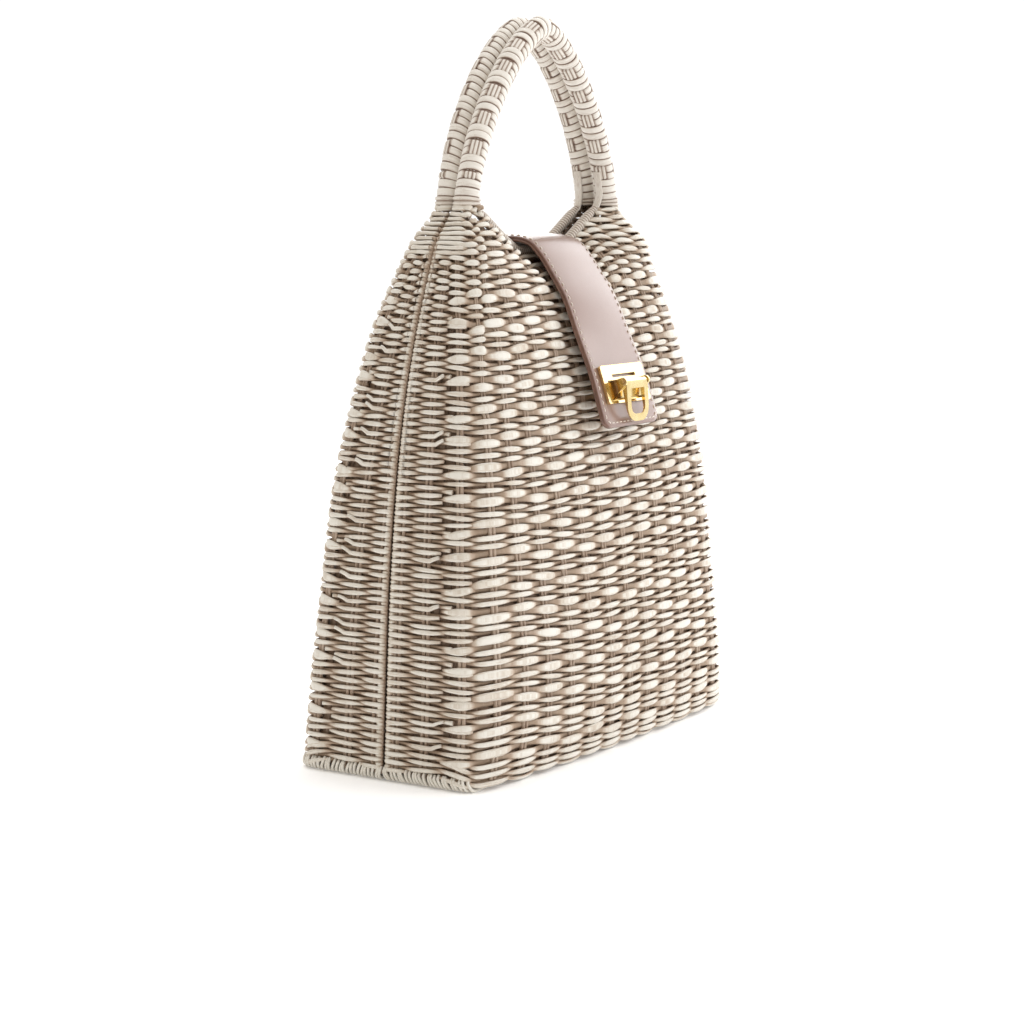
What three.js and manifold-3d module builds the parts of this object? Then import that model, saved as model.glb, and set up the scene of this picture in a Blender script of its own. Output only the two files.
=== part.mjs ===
// A hard-sided wicker handbag: two hollow woven half shells that meet at a seam plane, a wrapped arch
// handle and a wound rim on each half, a leather strap over the mouth and a gilt hasp lock on the strap.
// Millimetres. X runs across the bag, the front faces -Y, Z is up, and the bag stands on Z = 0.
// The seam plane is set back from the origin so that the whole bag is centred over it.
import * as THREE from "three";
import { mergeVertices } from "three/addons/utils/BufferGeometryUtils.js";
import Module from "manifold-3d";

const wasm = await Module();
wasm.setup();

// Driving dimensions
const SEAM_PLANE_Y = 4.644;
const SEAM_GAP = 0.8;
const WALL = 4.5;
const BASE_THICKNESS = 4.5;
const BASE_EDGE_RADIUS = 4;
const FLOOR_EDGE_RADIUS = 2;
const SHELL_HEIGHT = 320;
const CLEARANCE = 0.3;

const RIM_RADIUS = 3.2;
const RIM_FROM_SEAM = 6.5;
const RIM_HALF_LENGTH = 69;
const DIP_FLOOR = 293.2;
const DIP_HALF_WIDTH = 25.5;
const DIP_SLOPE = 0.6;
const DIP_ROUNDING = 7;

const HANDLE_FOOT = 1.5;

const STRAP_THICKNESS = 3.4;
const STRAP_TOP_HALF_WIDTH = 28;
const STRAP_END_HALF_WIDTH = 31.8;
const STRAP_TAPER_TOP_Z = 290;
const STRAP_END_Z = 193.5;
const STRAP_CORNER_RADIUS = 7;
const STRAP_EDGE_CHAMFER = 0.8;

const LOCK_Y = -66;
const LOCK_Z = 218.6;
const LOCK_LEAN = 0.3305;
const PLATE_WIDTH = 48.8;
const PLATE_TOP = 9.9;
const PLATE_BOTTOM = -13;
const PLATE_THICKNESS = 1.9;
const PLATE_CORNER_RADIUS = 1.6;
const WINDOW_HALF_WIDTH = 20;
const WINDOW_TOP = 0.8;
const WINDOW_BOTTOM = -11.5;
const SLOT_HALF_WIDTH = 13.5;
const SLOT_BOTTOM = 2.3;
const SLOT_TOP = 4.2;

const POST_HALF_WIDTH = 13.9;
const POST_TOP = 0.2;
const POST_BOTTOM = -10.4;
const CHEEK_THICKNESS = 1.2;
const CHEEK_RADIUS = 2.6;
const FLANGE_HALF_WIDTH = 18.4;
const FLANGE_TOP = 0.3;
const FLANGE_BOTTOM = -10.9;
const FLANGE_BACK = 4.2;
const FLANGE_FRONT = 1.4;
const STEM_HALF_WIDTH = 10;
const STEM_TOP = -1;
const STEM_BOTTOM = -8.4;
const STEM_BACK_TOP = 11.4;
const STEM_BACK_BOTTOM = 12.2;

const LOOP_LEAN = 0.078;
const LOOP_PIVOT_OUT = 8.2;
const LOOP_PIVOT_UP = -2.2;
const LOOP_HALF_WIDTH = 12.4;
const LOOP_TOP = 2.1;
const LOOP_BOTTOM = -23.4;
const LOOP_BAR = 4.3;
const LOOP_CROWN_BAR = 6.2;
const LOOP_DEPTH = 3.6;
const LOOP_END_RADIUS = 9;
const PIVOT_RADIUS = 1.1;
const PIVOT_CLEARANCE = 0.3;

// Plan sections of the shells from the base to the foot of the handles: share of the height, half width
// at the seam, depth of the front and back halves from the seam, how far the panels bow out between their
// corners, and how square the corners are.
const SECTIONS = [
  { share: 0.0, halfWidth: 151.8, front: 69.5, back: 68.5, bow: 6, square: 14 },
  { share: 0.1, halfWidth: 150.0, front: 71.9, back: 68.8, bow: 7, square: 12 },
  { share: 0.2, halfWidth: 148.4, front: 70.7, back: 67.4, bow: 7, square: 10.5 },
  { share: 0.3, halfWidth: 146.6, front: 68.7, back: 64.6, bow: 7, square: 9.5 },
  { share: 0.4, halfWidth: 143.8, front: 67.2, back: 62.5, bow: 7, square: 9 },
  { share: 0.5, halfWidth: 140.0, front: 65.0, back: 60.3, bow: 7, square: 8.5 },
  { share: 0.6, halfWidth: 134.8, front: 60.3, back: 55.1, bow: 6, square: 8 },
  { share: 0.7, halfWidth: 127.6, front: 55.2, back: 49.1, bow: 5, square: 7.5 },
  { share: 0.8, halfWidth: 117.8, front: 47.1, back: 41.4, bow: 3, square: 7 },
  { share: 0.88, halfWidth: 107.8, front: 39.5, back: 31.7, bow: 1, square: 6.5 },
  { share: 0.94, halfWidth: 100.0, front: 32.6, back: 21.8, bow: 0, square: 8 },
  { share: 1.0, halfWidth: 90.6, front: 15.6, back: 12.4, bow: 0, square: 13 },
];
const SHELL_SHARES = [0.04, 0.1, 0.2, 0.3, 0.4, 0.5, 0.58, 0.65, 0.72, 0.79, 0.85, 0.9, 0.94, 0.97, 1.0];
const BASE_EDGE_STEPS = 4;
const GUSSET_STEPS = 7;
const PANEL_STEPS = 24;
const SECTION_SAMPLES = 720;
const TURN_WEIGHT = 40;
const SEAM_POINT_STEP = 0.6;

// The strap's outer face seen from the side, from its front end over the mouth to its back end, as
// distances from the seam plane and heights.
const STRAP_PROFILE = [
  { out: -74.45, z: STRAP_END_Z },
  { out: -70.5, z: 205.6 },
  { out: -63.8, z: 225.0 },
  { out: -54.4, z: 246.0 },
  { out: -44.2, z: 268.7 },
  { out: -34.8, z: 282.5 },
  { out: -26.0, z: 294.2 },
  { out: -19.6, z: 299.9 },
  { out: -12.0, z: 302.4 },
  { out: 0.0, z: 302.8 },
  { out: 8.0, z: 302.9 },
  { out: 13.8, z: 300.2 },
  { out: 17.4, z: 293.6 },
  { out: 20.2, z: 288.4 },
  { out: 25.1, z: 280.4 },
  { out: 30.5, z: 272.3 },
  { out: 35.6, z: 264.1 },
  { out: 39.8, z: 255.9 },
  { out: 43.4, z: 247.6 },
  { out: 47.4, z: 236.0 },
];
const STRAP_STEPS = 44;

// The handles: which half each stands on, its bar's radius and distance from the seam plane, the half span
// between its feet, its rise, how round its arch is, and how far its middle is set across the bag.
const HANDLES = [
  { name: "front_handle", side: -1, radius: 7.3, out: 8, half: 78.8, rise: 102.2, round: 1.48, middle: 0.4 },
  { name: "back_handle", side: 1, radius: 6.8, out: 7, half: 77.4, rise: 102.8, round: 1.54, middle: 2.2 },
];

const MATERIALS = {
  wicker: new THREE.MeshStandardMaterial({ color: 0xcfc2ad, roughness: 0.6, metalness: 0 }),
  cane: new THREE.MeshStandardMaterial({ color: 0xe2d6c0, roughness: 0.5, metalness: 0 }),
  leather: new THREE.MeshStandardMaterial({ color: 0xbfa69d, roughness: 0.4, metalness: 0 }),
  gilt: new THREE.MeshStandardMaterial({ color: 0xe6c86e, roughness: 0.15, metalness: 1 }),
};

const bag = new THREE.Group();
bag.name = "wicker_handbag";
bag.position.y = SEAM_PLANE_Y;

function addPiece(name, geometry, material, parent = bag) {
  const mesh = new THREE.Mesh(geometry, material);
  mesh.name = name;
  parent.add(mesh);
  return mesh;
}

// Joining and cutting

function toSolid(geometry) {
  const bare = geometry.clone();
  bare.deleteAttribute("normal");
  bare.deleteAttribute("uv");
  const merged = mergeVertices(bare, 1e-4);
  const vertProperties = merged.attributes.position.array;
  const triVerts = new Uint32Array(merged.index.array);
  return new wasm.Manifold(new wasm.Mesh({ numProp: 3, vertProperties, triVerts }));
}

function toGeometry(solid) {
  const mesh = solid.getMesh();
  const geometry = new THREE.BufferGeometry();
  geometry.setAttribute("position", new THREE.BufferAttribute(mesh.vertProperties, 3));
  geometry.setIndex(new THREE.BufferAttribute(mesh.triVerts, 1));
  geometry.computeVertexNormals();
  return geometry;
}

// A closed body through rings of points. Point i of a ring pairs with point -i across it, so both ends
// close with a strip of facets even where a ring isn't flat.
function loft(rings) {
  const count = rings[0].length;
  const points = rings.flat();
  const faces = [];
  const at = (row, i) => row * count + (((i % count) + count) % count);
  for (let row = 0; row + 1 < rings.length; row++) {
    for (let i = 0; i < count; i++) {
      faces.push(at(row, i), at(row, i + 1), at(row + 1, i + 1));
      faces.push(at(row, i), at(row + 1, i + 1), at(row + 1, i));
    }
  }
  const last = rings.length - 1;
  for (let i = 0; i < count / 2; i++) {
    if (i > 0) {
      faces.push(at(0, i), at(0, -i), at(0, i + 1));
      faces.push(at(last, i), at(last, i + 1), at(last, -i));
    }
    if (i + 1 < count / 2) {
      faces.push(at(0, -i), at(0, -i - 1), at(0, i + 1));
      faces.push(at(last, -i), at(last, i + 1), at(last, -i - 1));
    }
  }
  const geometry = new THREE.BufferGeometry();
  const positions = points.flatMap((p) => [p.x, p.y, p.z]);
  geometry.setAttribute("position", new THREE.Float32BufferAttribute(positions, 3));
  geometry.setIndex(faces);
  const outward = toSolid(geometry).volume() > 0;
  if (!outward) {
    geometry.setIndex(faces.slice().reverse());
  }
  return geometry;
}

// A round bar along a list of points that lie in one plane of constant Y.
function roundBar(path, radius, sides) {
  const rings = path.map((point, k) => {
    const ahead = path[Math.min(k + 1, path.length - 1)];
    const behind = path[Math.max(k - 1, 0)];
    const along = ahead.clone().sub(behind).normalize();
    const across = new THREE.Vector3(0, 1, 0);
    const up = new THREE.Vector3().crossVectors(across, along);
    return Array.from({ length: sides }, (_, i) => {
      const turn = (2 * Math.PI * i) / sides;
      const offset = across.clone().multiplyScalar(radius * Math.cos(turn));
      return point.clone().add(offset.addScaledVector(up, radius * Math.sin(turn)));
    });
  });
  return loft(rings);
}

// The woven form

// A column of the section table at any share of the height, as a smooth curve through its rows.
function column(name, share) {
  const last = SECTIONS.length - 2;
  let row = 0;
  while (row < last && SECTIONS[row + 1].share < share) {
    row++;
  }
  const slopeAt = (k) => {
    const low = SECTIONS[Math.max(k - 1, 0)];
    const high = SECTIONS[Math.min(k + 1, SECTIONS.length - 1)];
    return (high[name] - low[name]) / (high.share - low.share);
  };
  const from = SECTIONS[row];
  const to = SECTIONS[row + 1];
  const span = to.share - from.share;
  const t = Math.min(Math.max((share - from.share) / span, 0), 1);
  const rise = t * t * (3 - 2 * t);
  const leave = t * (1 - t) * (1 - t) * span * slopeAt(row);
  const arrive = t * t * (t - 1) * span * slopeAt(row + 1);
  return from[name] + (to[name] - from[name]) * rise + leave + arrive;
}

function dipRise(x) {
  const past = Math.abs(x) - DIP_HALF_WIDTH;
  return (DIP_SLOPE * (past + Math.hypot(past, DIP_ROUNDING))) / 2;
}

const rimHeight = (x) => DIP_FLOOR + dipRise(x);

// The shell's top edge lies under the rim, and further below it where the rim slopes.
function topEdge(x) {
  const past = Math.abs(x) - DIP_HALF_WIDTH;
  const slope = (DIP_SLOPE * (1 + past / Math.hypot(past, DIP_ROUNDING))) / 2;
  return Math.min(rimHeight(x) - (RIM_RADIUS + 2 * CLEARANCE) * Math.hypot(1, slope), SHELL_HEIGHT);
}

const heightAt = (share, x) => SHELL_HEIGHT * share - (SHELL_HEIGHT - topEdge(x)) * share ** 3;

function edgeInset(z, radius) {
  return z >= radius ? 0 : radius - Math.sqrt(radius * radius - (radius - z) ** 2);
}

// Half of a plan section from the left seam round the panel to the right seam, as offsets across the bag
// and depths from the seam face, with points closer together where the outline turns.
function halfSection(halfWidth, depth, bow, square) {
  const corner = Math.atan2(depth, halfWidth);
  const fine = Array.from({ length: SECTION_SAMPLES + 1 }, (_, i) => {
    const angle = Math.PI - (Math.PI * i) / SECTION_SAMPLES;
    const cos = Math.abs(Math.cos(angle)) / halfWidth;
    const sin = Math.abs(Math.sin(angle)) / depth;
    const reach = (cos ** square + sin ** square) ** (-1 / square);
    const x = reach * Math.cos(angle);
    const bowed = reach * Math.sin(angle) * (1 - (bow / depth) * (x / halfWidth) ** 2);
    return { angle, x, depth: bowed, walked: 0 };
  });
  for (let i = 1; i < fine.length; i++) {
    const from = fine[i - 1];
    const to = fine[i];
    const past = fine[Math.max(i - 2, 0)];
    const heading = Math.atan2(to.depth - from.depth, to.x - from.x);
    const before = i > 1 ? Math.atan2(from.depth - past.depth, from.x - past.x) : heading;
    const step = Math.hypot(to.x - from.x, to.depth - from.depth);
    to.walked = from.walked + step + TURN_WEIGHT * Math.abs(heading - before);
  }
  const walkedAt = (angle) => fine.find((p) => p.angle <= angle).walked;
  const stops = [0, walkedAt(Math.PI - corner), walkedAt(corner), fine[SECTION_SAMPLES].walked];
  const counts = [GUSSET_STEPS, PANEL_STEPS, GUSSET_STEPS];
  const outline = [];
  counts.forEach((steps, stretch) => {
    for (let k = 0; k < steps; k++) {
      const goal = stops[stretch] + ((stops[stretch + 1] - stops[stretch]) * k) / steps;
      const next = Math.max(fine.findIndex((p) => p.walked >= goal), 1);
      const from = fine[next - 1];
      const to = fine[next];
      const t = (goal - from.walked) / (to.walked - from.walked);
      outline.push({ x: from.x + (to.x - from.x) * t, depth: from.depth + (to.depth - from.depth) * t });
    }
  });
  outline.push({ x: halfWidth, depth: 0 });
  outline[0] = { x: -halfWidth, depth: 0 };
  return outline;
}

// The rows of one wall face from the top edge down to the base or floor, whose edge is rounded. Each row is
// a half outline set out at its own height.
function wallRows(side, inset, bottom, radius) {
  const rows = SHELL_SHARES.map((share) => ({ share, inset }));
  for (let k = BASE_EDGE_STEPS; k >= 0; k--) {
    const up = radius * (1 - Math.cos((Math.PI / 2) * (k / BASE_EDGE_STEPS)));
    rows.push({ share: (bottom + up) / SHELL_HEIGHT, inset: inset + edgeInset(up, radius) });
  }
  rows.sort((one, other) => other.share - one.share);
  return rows.map((row) => {
    const halfWidth = column("halfWidth", row.share) - row.inset;
    const depth = column(side < 0 ? "front" : "back", row.share) - SEAM_GAP / 2 - row.inset;
    const outline = halfSection(halfWidth, depth, column("bow", row.share), column("square", row.share));
    return outline.map(
      (p) => new THREE.Vector3(p.x, side * (SEAM_GAP / 2 + p.depth), heightAt(row.share, p.x)),
    );
  });
}

// Points on the seam face below or above a row, spread along X so that no two of them meet.
function seamRow(side, row) {
  const last = row.length - 1;
  const end = row[last].x;
  return row.map((p, i) => {
    const nearest = SEAM_POINT_STEP * (1 + Math.min(i, last - i));
    const reach = Math.min(Math.abs(p.x), end - nearest);
    return new THREE.Vector3(Math.sign(i - last / 2) * reach, side * (SEAM_GAP / 2), p.z);
  });
}

// A half shell is one profile carried round the outline: down the outside, in along the base to the seam,
// up its edge, out along the floor and up the inside.
function halfShell(side) {
  const outside = wallRows(side, 0, 0, BASE_EDGE_RADIUS);
  const inside = wallRows(side, WALL, BASE_THICKNESS, FLOOR_EDGE_RADIUS);
  const baseEdge = seamRow(side, outside[outside.length - 1]);
  const floorEdge = seamRow(side, inside[inside.length - 1]);
  const profile = [...outside, baseEdge, floorEdge, ...inside.reverse()];
  return loft(outside[0].map((_, i) => profile.map((row) => row[i])));
}

// Rims and handles

const RIM_STEPS = 20;
const RIM_SIDES = 8;
const HANDLE_STEPS = 30;
const HANDLE_SIDES = 12;

function dipRim(side) {
  const path = Array.from({ length: RIM_STEPS + 1 }, (_, k) => {
    const x = RIM_HALF_LENGTH * ((2 * k) / RIM_STEPS - 1);
    return new THREE.Vector3(x, side * RIM_FROM_SEAM, rimHeight(x));
  });
  return roundBar(path, RIM_RADIUS, RIM_SIDES);
}

function archHandle(handle) {
  const power = 2 / handle.round;
  const foot = SHELL_HEIGHT + CLEARANCE;
  const path = Array.from({ length: HANDLE_STEPS + 1 }, (_, k) => {
    const angle = Math.PI * (1 - k / HANDLE_STEPS);
    const reach = handle.half * Math.abs(Math.cos(angle)) ** power;
    const x = handle.middle + Math.sign(Math.cos(angle)) * reach;
    const z = foot + HANDLE_FOOT + handle.rise * Math.abs(Math.sin(angle)) ** power;
    return new THREE.Vector3(x, handle.side * handle.out, z);
  });
  const feet = [path[0], path[HANDLE_STEPS]].map((end) => end.clone().setZ(foot));
  return roundBar([feet[0], ...path, feet[1]], handle.radius, HANDLE_SIDES);
}

// Strap

function strapHalfWidth(point, walked) {
  const share = (STRAP_TAPER_TOP_Z - point.z) / (STRAP_TAPER_TOP_Z - STRAP_END_Z);
  const taper = point.y < 0 ? Math.min(Math.max(share, 0), 1) : 0;
  const straight = STRAP_TOP_HALF_WIDTH + (STRAP_END_HALF_WIDTH - STRAP_TOP_HALF_WIDTH) * taper;
  return straight - edgeInset(walked, STRAP_CORNER_RADIUS);
}

function leatherStrap() {
  const points = STRAP_PROFILE.map((p) => new THREE.Vector3(0, p.out, p.z));
  const curve = new THREE.CatmullRomCurve3(points, false, "centripetal");
  const length = curve.getLength();
  const cornerShare = STRAP_CORNER_RADIUS / length;
  const cornerStops = [0, 0.6, 2, 4.2];
  const shares = [];
  for (let k = 0; k <= STRAP_STEPS; k++) {
    shares.push(cornerShare + ((1 - 2 * cornerShare) * k) / STRAP_STEPS);
  }
  const ends = cornerStops.map((stop) => stop / length);
  const stops = ends.concat(shares, ends.map((share) => 1 - share).reverse());
  const rings = stops.map((share) => {
    const point = curve.getPointAt(Math.min(share, 1));
    const along = curve.getTangentAt(Math.min(share, 1));
    const inward = new THREE.Vector3(0, along.z, -along.y);
    const half = strapHalfWidth(point, length * Math.min(share, 1 - share));
    const column = (x, depth) => point.clone().addScaledVector(inward, depth).setX(x);
    const edge = half - STRAP_EDGE_CHAMFER;
    const low = STRAP_THICKNESS - STRAP_EDGE_CHAMFER;
    return [
      column(-half, STRAP_THICKNESS / 2),
      column(-half, STRAP_EDGE_CHAMFER),
      column(-edge, 0),
      column(edge, 0),
      column(half, STRAP_EDGE_CHAMFER),
      column(half, STRAP_THICKNESS / 2),
      column(half, low),
      column(edge, STRAP_THICKNESS),
      column(-edge, STRAP_THICKNESS),
      column(-half, low),
    ];
  });
  return loft(rings);
}

// Lock

function panelShape(halfWidth, bottom, top, radius) {
  const shape = new THREE.Shape();
  shape.moveTo(-halfWidth + radius, bottom);
  shape.absarc(halfWidth - radius, bottom + radius, radius, -Math.PI / 2, 0);
  shape.absarc(halfWidth - radius, top - radius, radius, 0, Math.PI / 2);
  shape.absarc(-halfWidth + radius, top - radius, radius, Math.PI / 2, Math.PI);
  shape.absarc(-halfWidth + radius, bottom + radius, radius, Math.PI, 1.5 * Math.PI);
  return shape;
}

// A flat shape drawn in X and Z, given a thickness from back to front along -Y.
function slab(shape, back, front, curveSegments = 4) {
  const settings = { depth: back - front, bevelEnabled: false, curveSegments };
  const geometry = new THREE.ExtrudeGeometry(shape, settings);
  return geometry.rotateX(Math.PI / 2).translate(0, back, 0);
}

// A shape drawn in Y and Z, given a width along X.
function prism(shape, left, right, curveSegments = 6) {
  const settings = { depth: right - left, bevelEnabled: false, curveSegments };
  const geometry = new THREE.ExtrudeGeometry(shape, settings);
  return geometry.rotateY(Math.PI / 2).rotateX(Math.PI / 2).translate(left, 0, 0);
}

function plateGeometry() {
  const shape = panelShape(PLATE_WIDTH / 2, PLATE_BOTTOM, PLATE_TOP, PLATE_CORNER_RADIUS);
  shape.holes.push(panelShape(WINDOW_HALF_WIDTH, WINDOW_BOTTOM, WINDOW_TOP, 0.8));
  shape.holes.push(panelShape(SLOT_HALF_WIDTH, SLOT_BOTTOM, SLOT_TOP, 0.6));
  return slab(shape, -CLEARANCE, -CLEARANCE - PLATE_THICKNESS);
}

// The loop's pivot in the lock's own frame, where the strap's outer face is Y = 0.
const PIVOT_Y = -LOOP_PIVOT_OUT;
const PIVOT_Z = LOOP_PIVOT_UP;

// A point given in the loop's frame, set out in the lock's frame.
function fromLoop(y, z) {
  const away = new THREE.Vector2(y, z).rotateAround(new THREE.Vector2(), LOCK_LEAN - LOOP_LEAN);
  return away.add(new THREE.Vector2(PIVOT_Y, PIVOT_Z));
}

function postGeometry() {
  const flange = panelShape(FLANGE_HALF_WIDTH, FLANGE_BOTTOM, FLANGE_TOP, 0.8);
  const block = new THREE.Shape();
  const restFace = LOOP_DEPTH / 2 + 2 * CLEARANCE;
  const restTop = fromLoop(restFace, 1.2);
  const restBottom = fromLoop(restFace, -9.4);
  block.moveTo(FLANGE_FRONT + 0.5, POST_TOP);
  block.lineTo(restTop.x, POST_TOP);
  block.lineTo(restTop.x, restTop.y);
  block.lineTo(restBottom.x, Math.max(restBottom.y, POST_BOTTOM));
  block.lineTo(restBottom.x, POST_BOTTOM);
  block.lineTo(FLANGE_FRONT + 0.5, POST_BOTTOM);
  const stem = new THREE.Shape();
  stem.moveTo(FLANGE_BACK - 0.5, STEM_TOP);
  stem.lineTo(FLANGE_BACK - 0.5, STEM_BOTTOM);
  stem.lineTo(STEM_BACK_BOTTOM, STEM_BOTTOM);
  stem.lineTo(STEM_BACK_TOP, STEM_TOP);
  const cheek = new THREE.Shape();
  cheek.moveTo(FLANGE_FRONT + 0.5, POST_TOP);
  cheek.lineTo(PIVOT_Y, PIVOT_Z + CHEEK_RADIUS);
  cheek.absarc(PIVOT_Y, PIVOT_Z, CHEEK_RADIUS, Math.PI / 2, 1.5 * Math.PI);
  cheek.lineTo(FLANGE_FRONT + 0.5, POST_BOTTOM);
  const eye = new THREE.Path();
  eye.absarc(PIVOT_Y, PIVOT_Z, PIVOT_RADIUS + PIVOT_CLEARANCE, 0, 2 * Math.PI);
  cheek.holes.push(eye);
  const inner = POST_HALF_WIDTH - CHEEK_THICKNESS;
  const base = toSolid(slab(flange, FLANGE_BACK, FLANGE_FRONT));
  const left = toSolid(prism(cheek, -POST_HALF_WIDTH, -inner));
  const right = toSolid(prism(cheek, inner, POST_HALF_WIDTH));
  const middle = toSolid(prism(block, -inner, inner));
  const foot = toSolid(prism(stem, -STEM_HALF_WIDTH, STEM_HALF_WIDTH));
  return toGeometry(base.add(middle).add(left).add(right).add(foot));
}

function roundEndedPath(path, halfWidth, top, bottom, radius) {
  const level = bottom + radius;
  path.moveTo(-halfWidth, top);
  path.lineTo(-halfWidth, level);
  path.absarc(-halfWidth + radius, level, radius, Math.PI, 1.5 * Math.PI);
  path.absarc(halfWidth - radius, level, radius, 1.5 * Math.PI, 2 * Math.PI);
  path.lineTo(halfWidth, top);
  return path;
}

function loopGeometry() {
  const innerSide = LOOP_HALF_WIDTH - LOOP_BAR;
  const innerTop = LOOP_TOP - LOOP_CROWN_BAR;
  const innerBottom = LOOP_BOTTOM + LOOP_BAR;
  const outline = roundEndedPath(new THREE.Shape(), LOOP_HALF_WIDTH, LOOP_TOP, LOOP_BOTTOM, LOOP_END_RADIUS);
  const innerRadius = LOOP_END_RADIUS - LOOP_BAR;
  const opening = roundEndedPath(new THREE.Path(), innerSide, innerTop, innerBottom, innerRadius);
  outline.holes.push(opening);
  const half = LOOP_DEPTH / 2;
  const sideView = new THREE.Shape();
  sideView.moveTo(half, LOOP_BOTTOM - 1);
  sideView.absarc(0, 0, half, 0, Math.PI);
  sideView.lineTo(-half, LOOP_BOTTOM - 1);
  const ring = toSolid(slab(outline, half, -half, 6));
  const crowned = ring.intersect(toSolid(prism(sideView, -LOOP_HALF_WIDTH - 1, LOOP_HALF_WIDTH + 1, 8)));
  const stub = new THREE.Shape().absarc(0, 0, PIVOT_RADIUS, 0, 2 * Math.PI);
  const pivot = toSolid(prism(stub, -POST_HALF_WIDTH, POST_HALF_WIDTH));
  return toGeometry(crowned.add(pivot));
}

// Assembly

const FRONT = -1;
const BACK = 1;
addPiece("front_shell", halfShell(FRONT), MATERIALS.wicker);
addPiece("back_shell", halfShell(BACK), MATERIALS.wicker);
addPiece("front_rim", dipRim(FRONT), MATERIALS.cane);
addPiece("back_rim", dipRim(BACK), MATERIALS.cane);
HANDLES.forEach((handle) => addPiece(handle.name, archHandle(handle), MATERIALS.cane));

const lock = new THREE.Group();
lock.position.set(0, LOCK_Y, LOCK_Z);
lock.rotation.x = -LOCK_LEAN;
lock.updateMatrix();
bag.add(lock);

const cutOutSide = FLANGE_HALF_WIDTH + 2 * CLEARANCE;
const cutOut = panelShape(cutOutSide, FLANGE_BOTTOM - CLEARANCE, FLANGE_TOP + CLEARANCE, 0.8);
const cutter = slab(cutOut, 3 * STRAP_THICKNESS, -STRAP_THICKNESS).applyMatrix4(lock.matrix);
const strapSolid = toSolid(leatherStrap()).subtract(toSolid(cutter));
addPiece("strap", toGeometry(strapSolid), MATERIALS.leather);
addPiece("lock_plate", plateGeometry(), MATERIALS.gilt, lock);
addPiece("lock_post", postGeometry(), MATERIALS.gilt, lock);

const loopGroup = new THREE.Group();
loopGroup.position.set(0, PIVOT_Y, PIVOT_Z);
loopGroup.rotation.x = LOCK_LEAN - LOOP_LEAN;
lock.add(loopGroup);
addPiece("lock_loop", loopGeometry(), MATERIALS.gilt, loopGroup);

export default bag;
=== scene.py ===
"""A tall hard-sided wicker handbag: two woven halves, wound handles, a leather strap and a gilt lock.

Lengths are in millimetres until a mesh is made. The seam between the halves is the plane y = SEAM_Y.
"""

import math

import bmesh
import bpy
import numpy as np
from mathutils import Matrix, Vector


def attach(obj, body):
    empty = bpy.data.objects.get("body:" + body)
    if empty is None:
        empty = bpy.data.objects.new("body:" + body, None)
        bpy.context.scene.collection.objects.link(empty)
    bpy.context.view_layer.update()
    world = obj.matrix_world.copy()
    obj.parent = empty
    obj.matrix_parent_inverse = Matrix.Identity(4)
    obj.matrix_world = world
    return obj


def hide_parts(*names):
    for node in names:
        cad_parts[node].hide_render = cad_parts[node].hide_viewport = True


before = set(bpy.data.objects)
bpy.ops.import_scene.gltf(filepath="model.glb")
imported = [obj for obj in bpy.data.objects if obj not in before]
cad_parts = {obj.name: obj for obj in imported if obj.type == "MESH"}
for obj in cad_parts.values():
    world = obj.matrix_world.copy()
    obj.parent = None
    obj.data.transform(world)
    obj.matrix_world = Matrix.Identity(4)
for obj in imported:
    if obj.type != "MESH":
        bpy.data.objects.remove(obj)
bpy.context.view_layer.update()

MM = 0.001
FRONT = -1
BACK = 1
ALONG_X = np.array([1.0, 0.0, 0.0])
ALONG_Y = np.array([0.0, 1.0, 0.0])
SEAM_Y = 4.644
SEAM_GAP = 0.8
SHELL_HEIGHT = 320
BASE_EDGE_RADIUS = 4
CLEARANCE = 0.3

# Outline of the bag by share of its height: half width, depth in front of and behind the seam, how far the
# panels bow out between their corners, and squareness
SECTIONS = np.array([
    (0.00, 151.8, 69.5, 68.5, 6, 14),
    (0.10, 150.0, 71.9, 68.8, 7, 12),
    (0.20, 148.4, 70.7, 67.4, 7, 10.5),
    (0.30, 146.6, 68.7, 64.6, 7, 9.5),
    (0.40, 143.8, 67.2, 62.5, 7, 9),
    (0.50, 140.0, 65.0, 60.3, 7, 8.5),
    (0.60, 134.8, 60.3, 55.1, 6, 8),
    (0.70, 127.6, 55.2, 49.1, 5, 7.5),
    (0.80, 117.8, 47.1, 41.4, 3, 7),
    (0.88, 107.8, 39.5, 31.7, 1, 6.5),
    (0.94, 100.0, 32.6, 21.8, 0, 8),
    (1.00, 90.6, 15.6, 12.4, 0, 13),
])

RIM_RADIUS = 3.2
RIM_FROM_SEAM = 6.5
RIM_HALF_LENGTH = 69
DIP_FLOOR = 293.2
DIP_HALF_WIDTH = 25.5
DIP_SLOPE = 0.6
DIP_ROUNDING = 7

# Handles: side, bar radius, distance from the seam, half span, rise, roundness and the middle of the span
HANDLES = {
    "front_handle": (FRONT, 7.3, 8, 78.8, 102.2, 1.48, 0.4),
    "back_handle": (BACK, 6.8, 7, 77.4, 102.8, 1.54, 2.2),
}
HANDLE_OF = {FRONT: "front_handle", BACK: "back_handle"}
FOOT_START = 297
FOOT_END = 322
FOOT_FROM_SEAM = 0.3
FOOT_TURN_SHARES = (0, 0.42, 0.8, 1)
FOOT_TURN_DEGREES = (0, 80, 165, 262)

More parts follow.
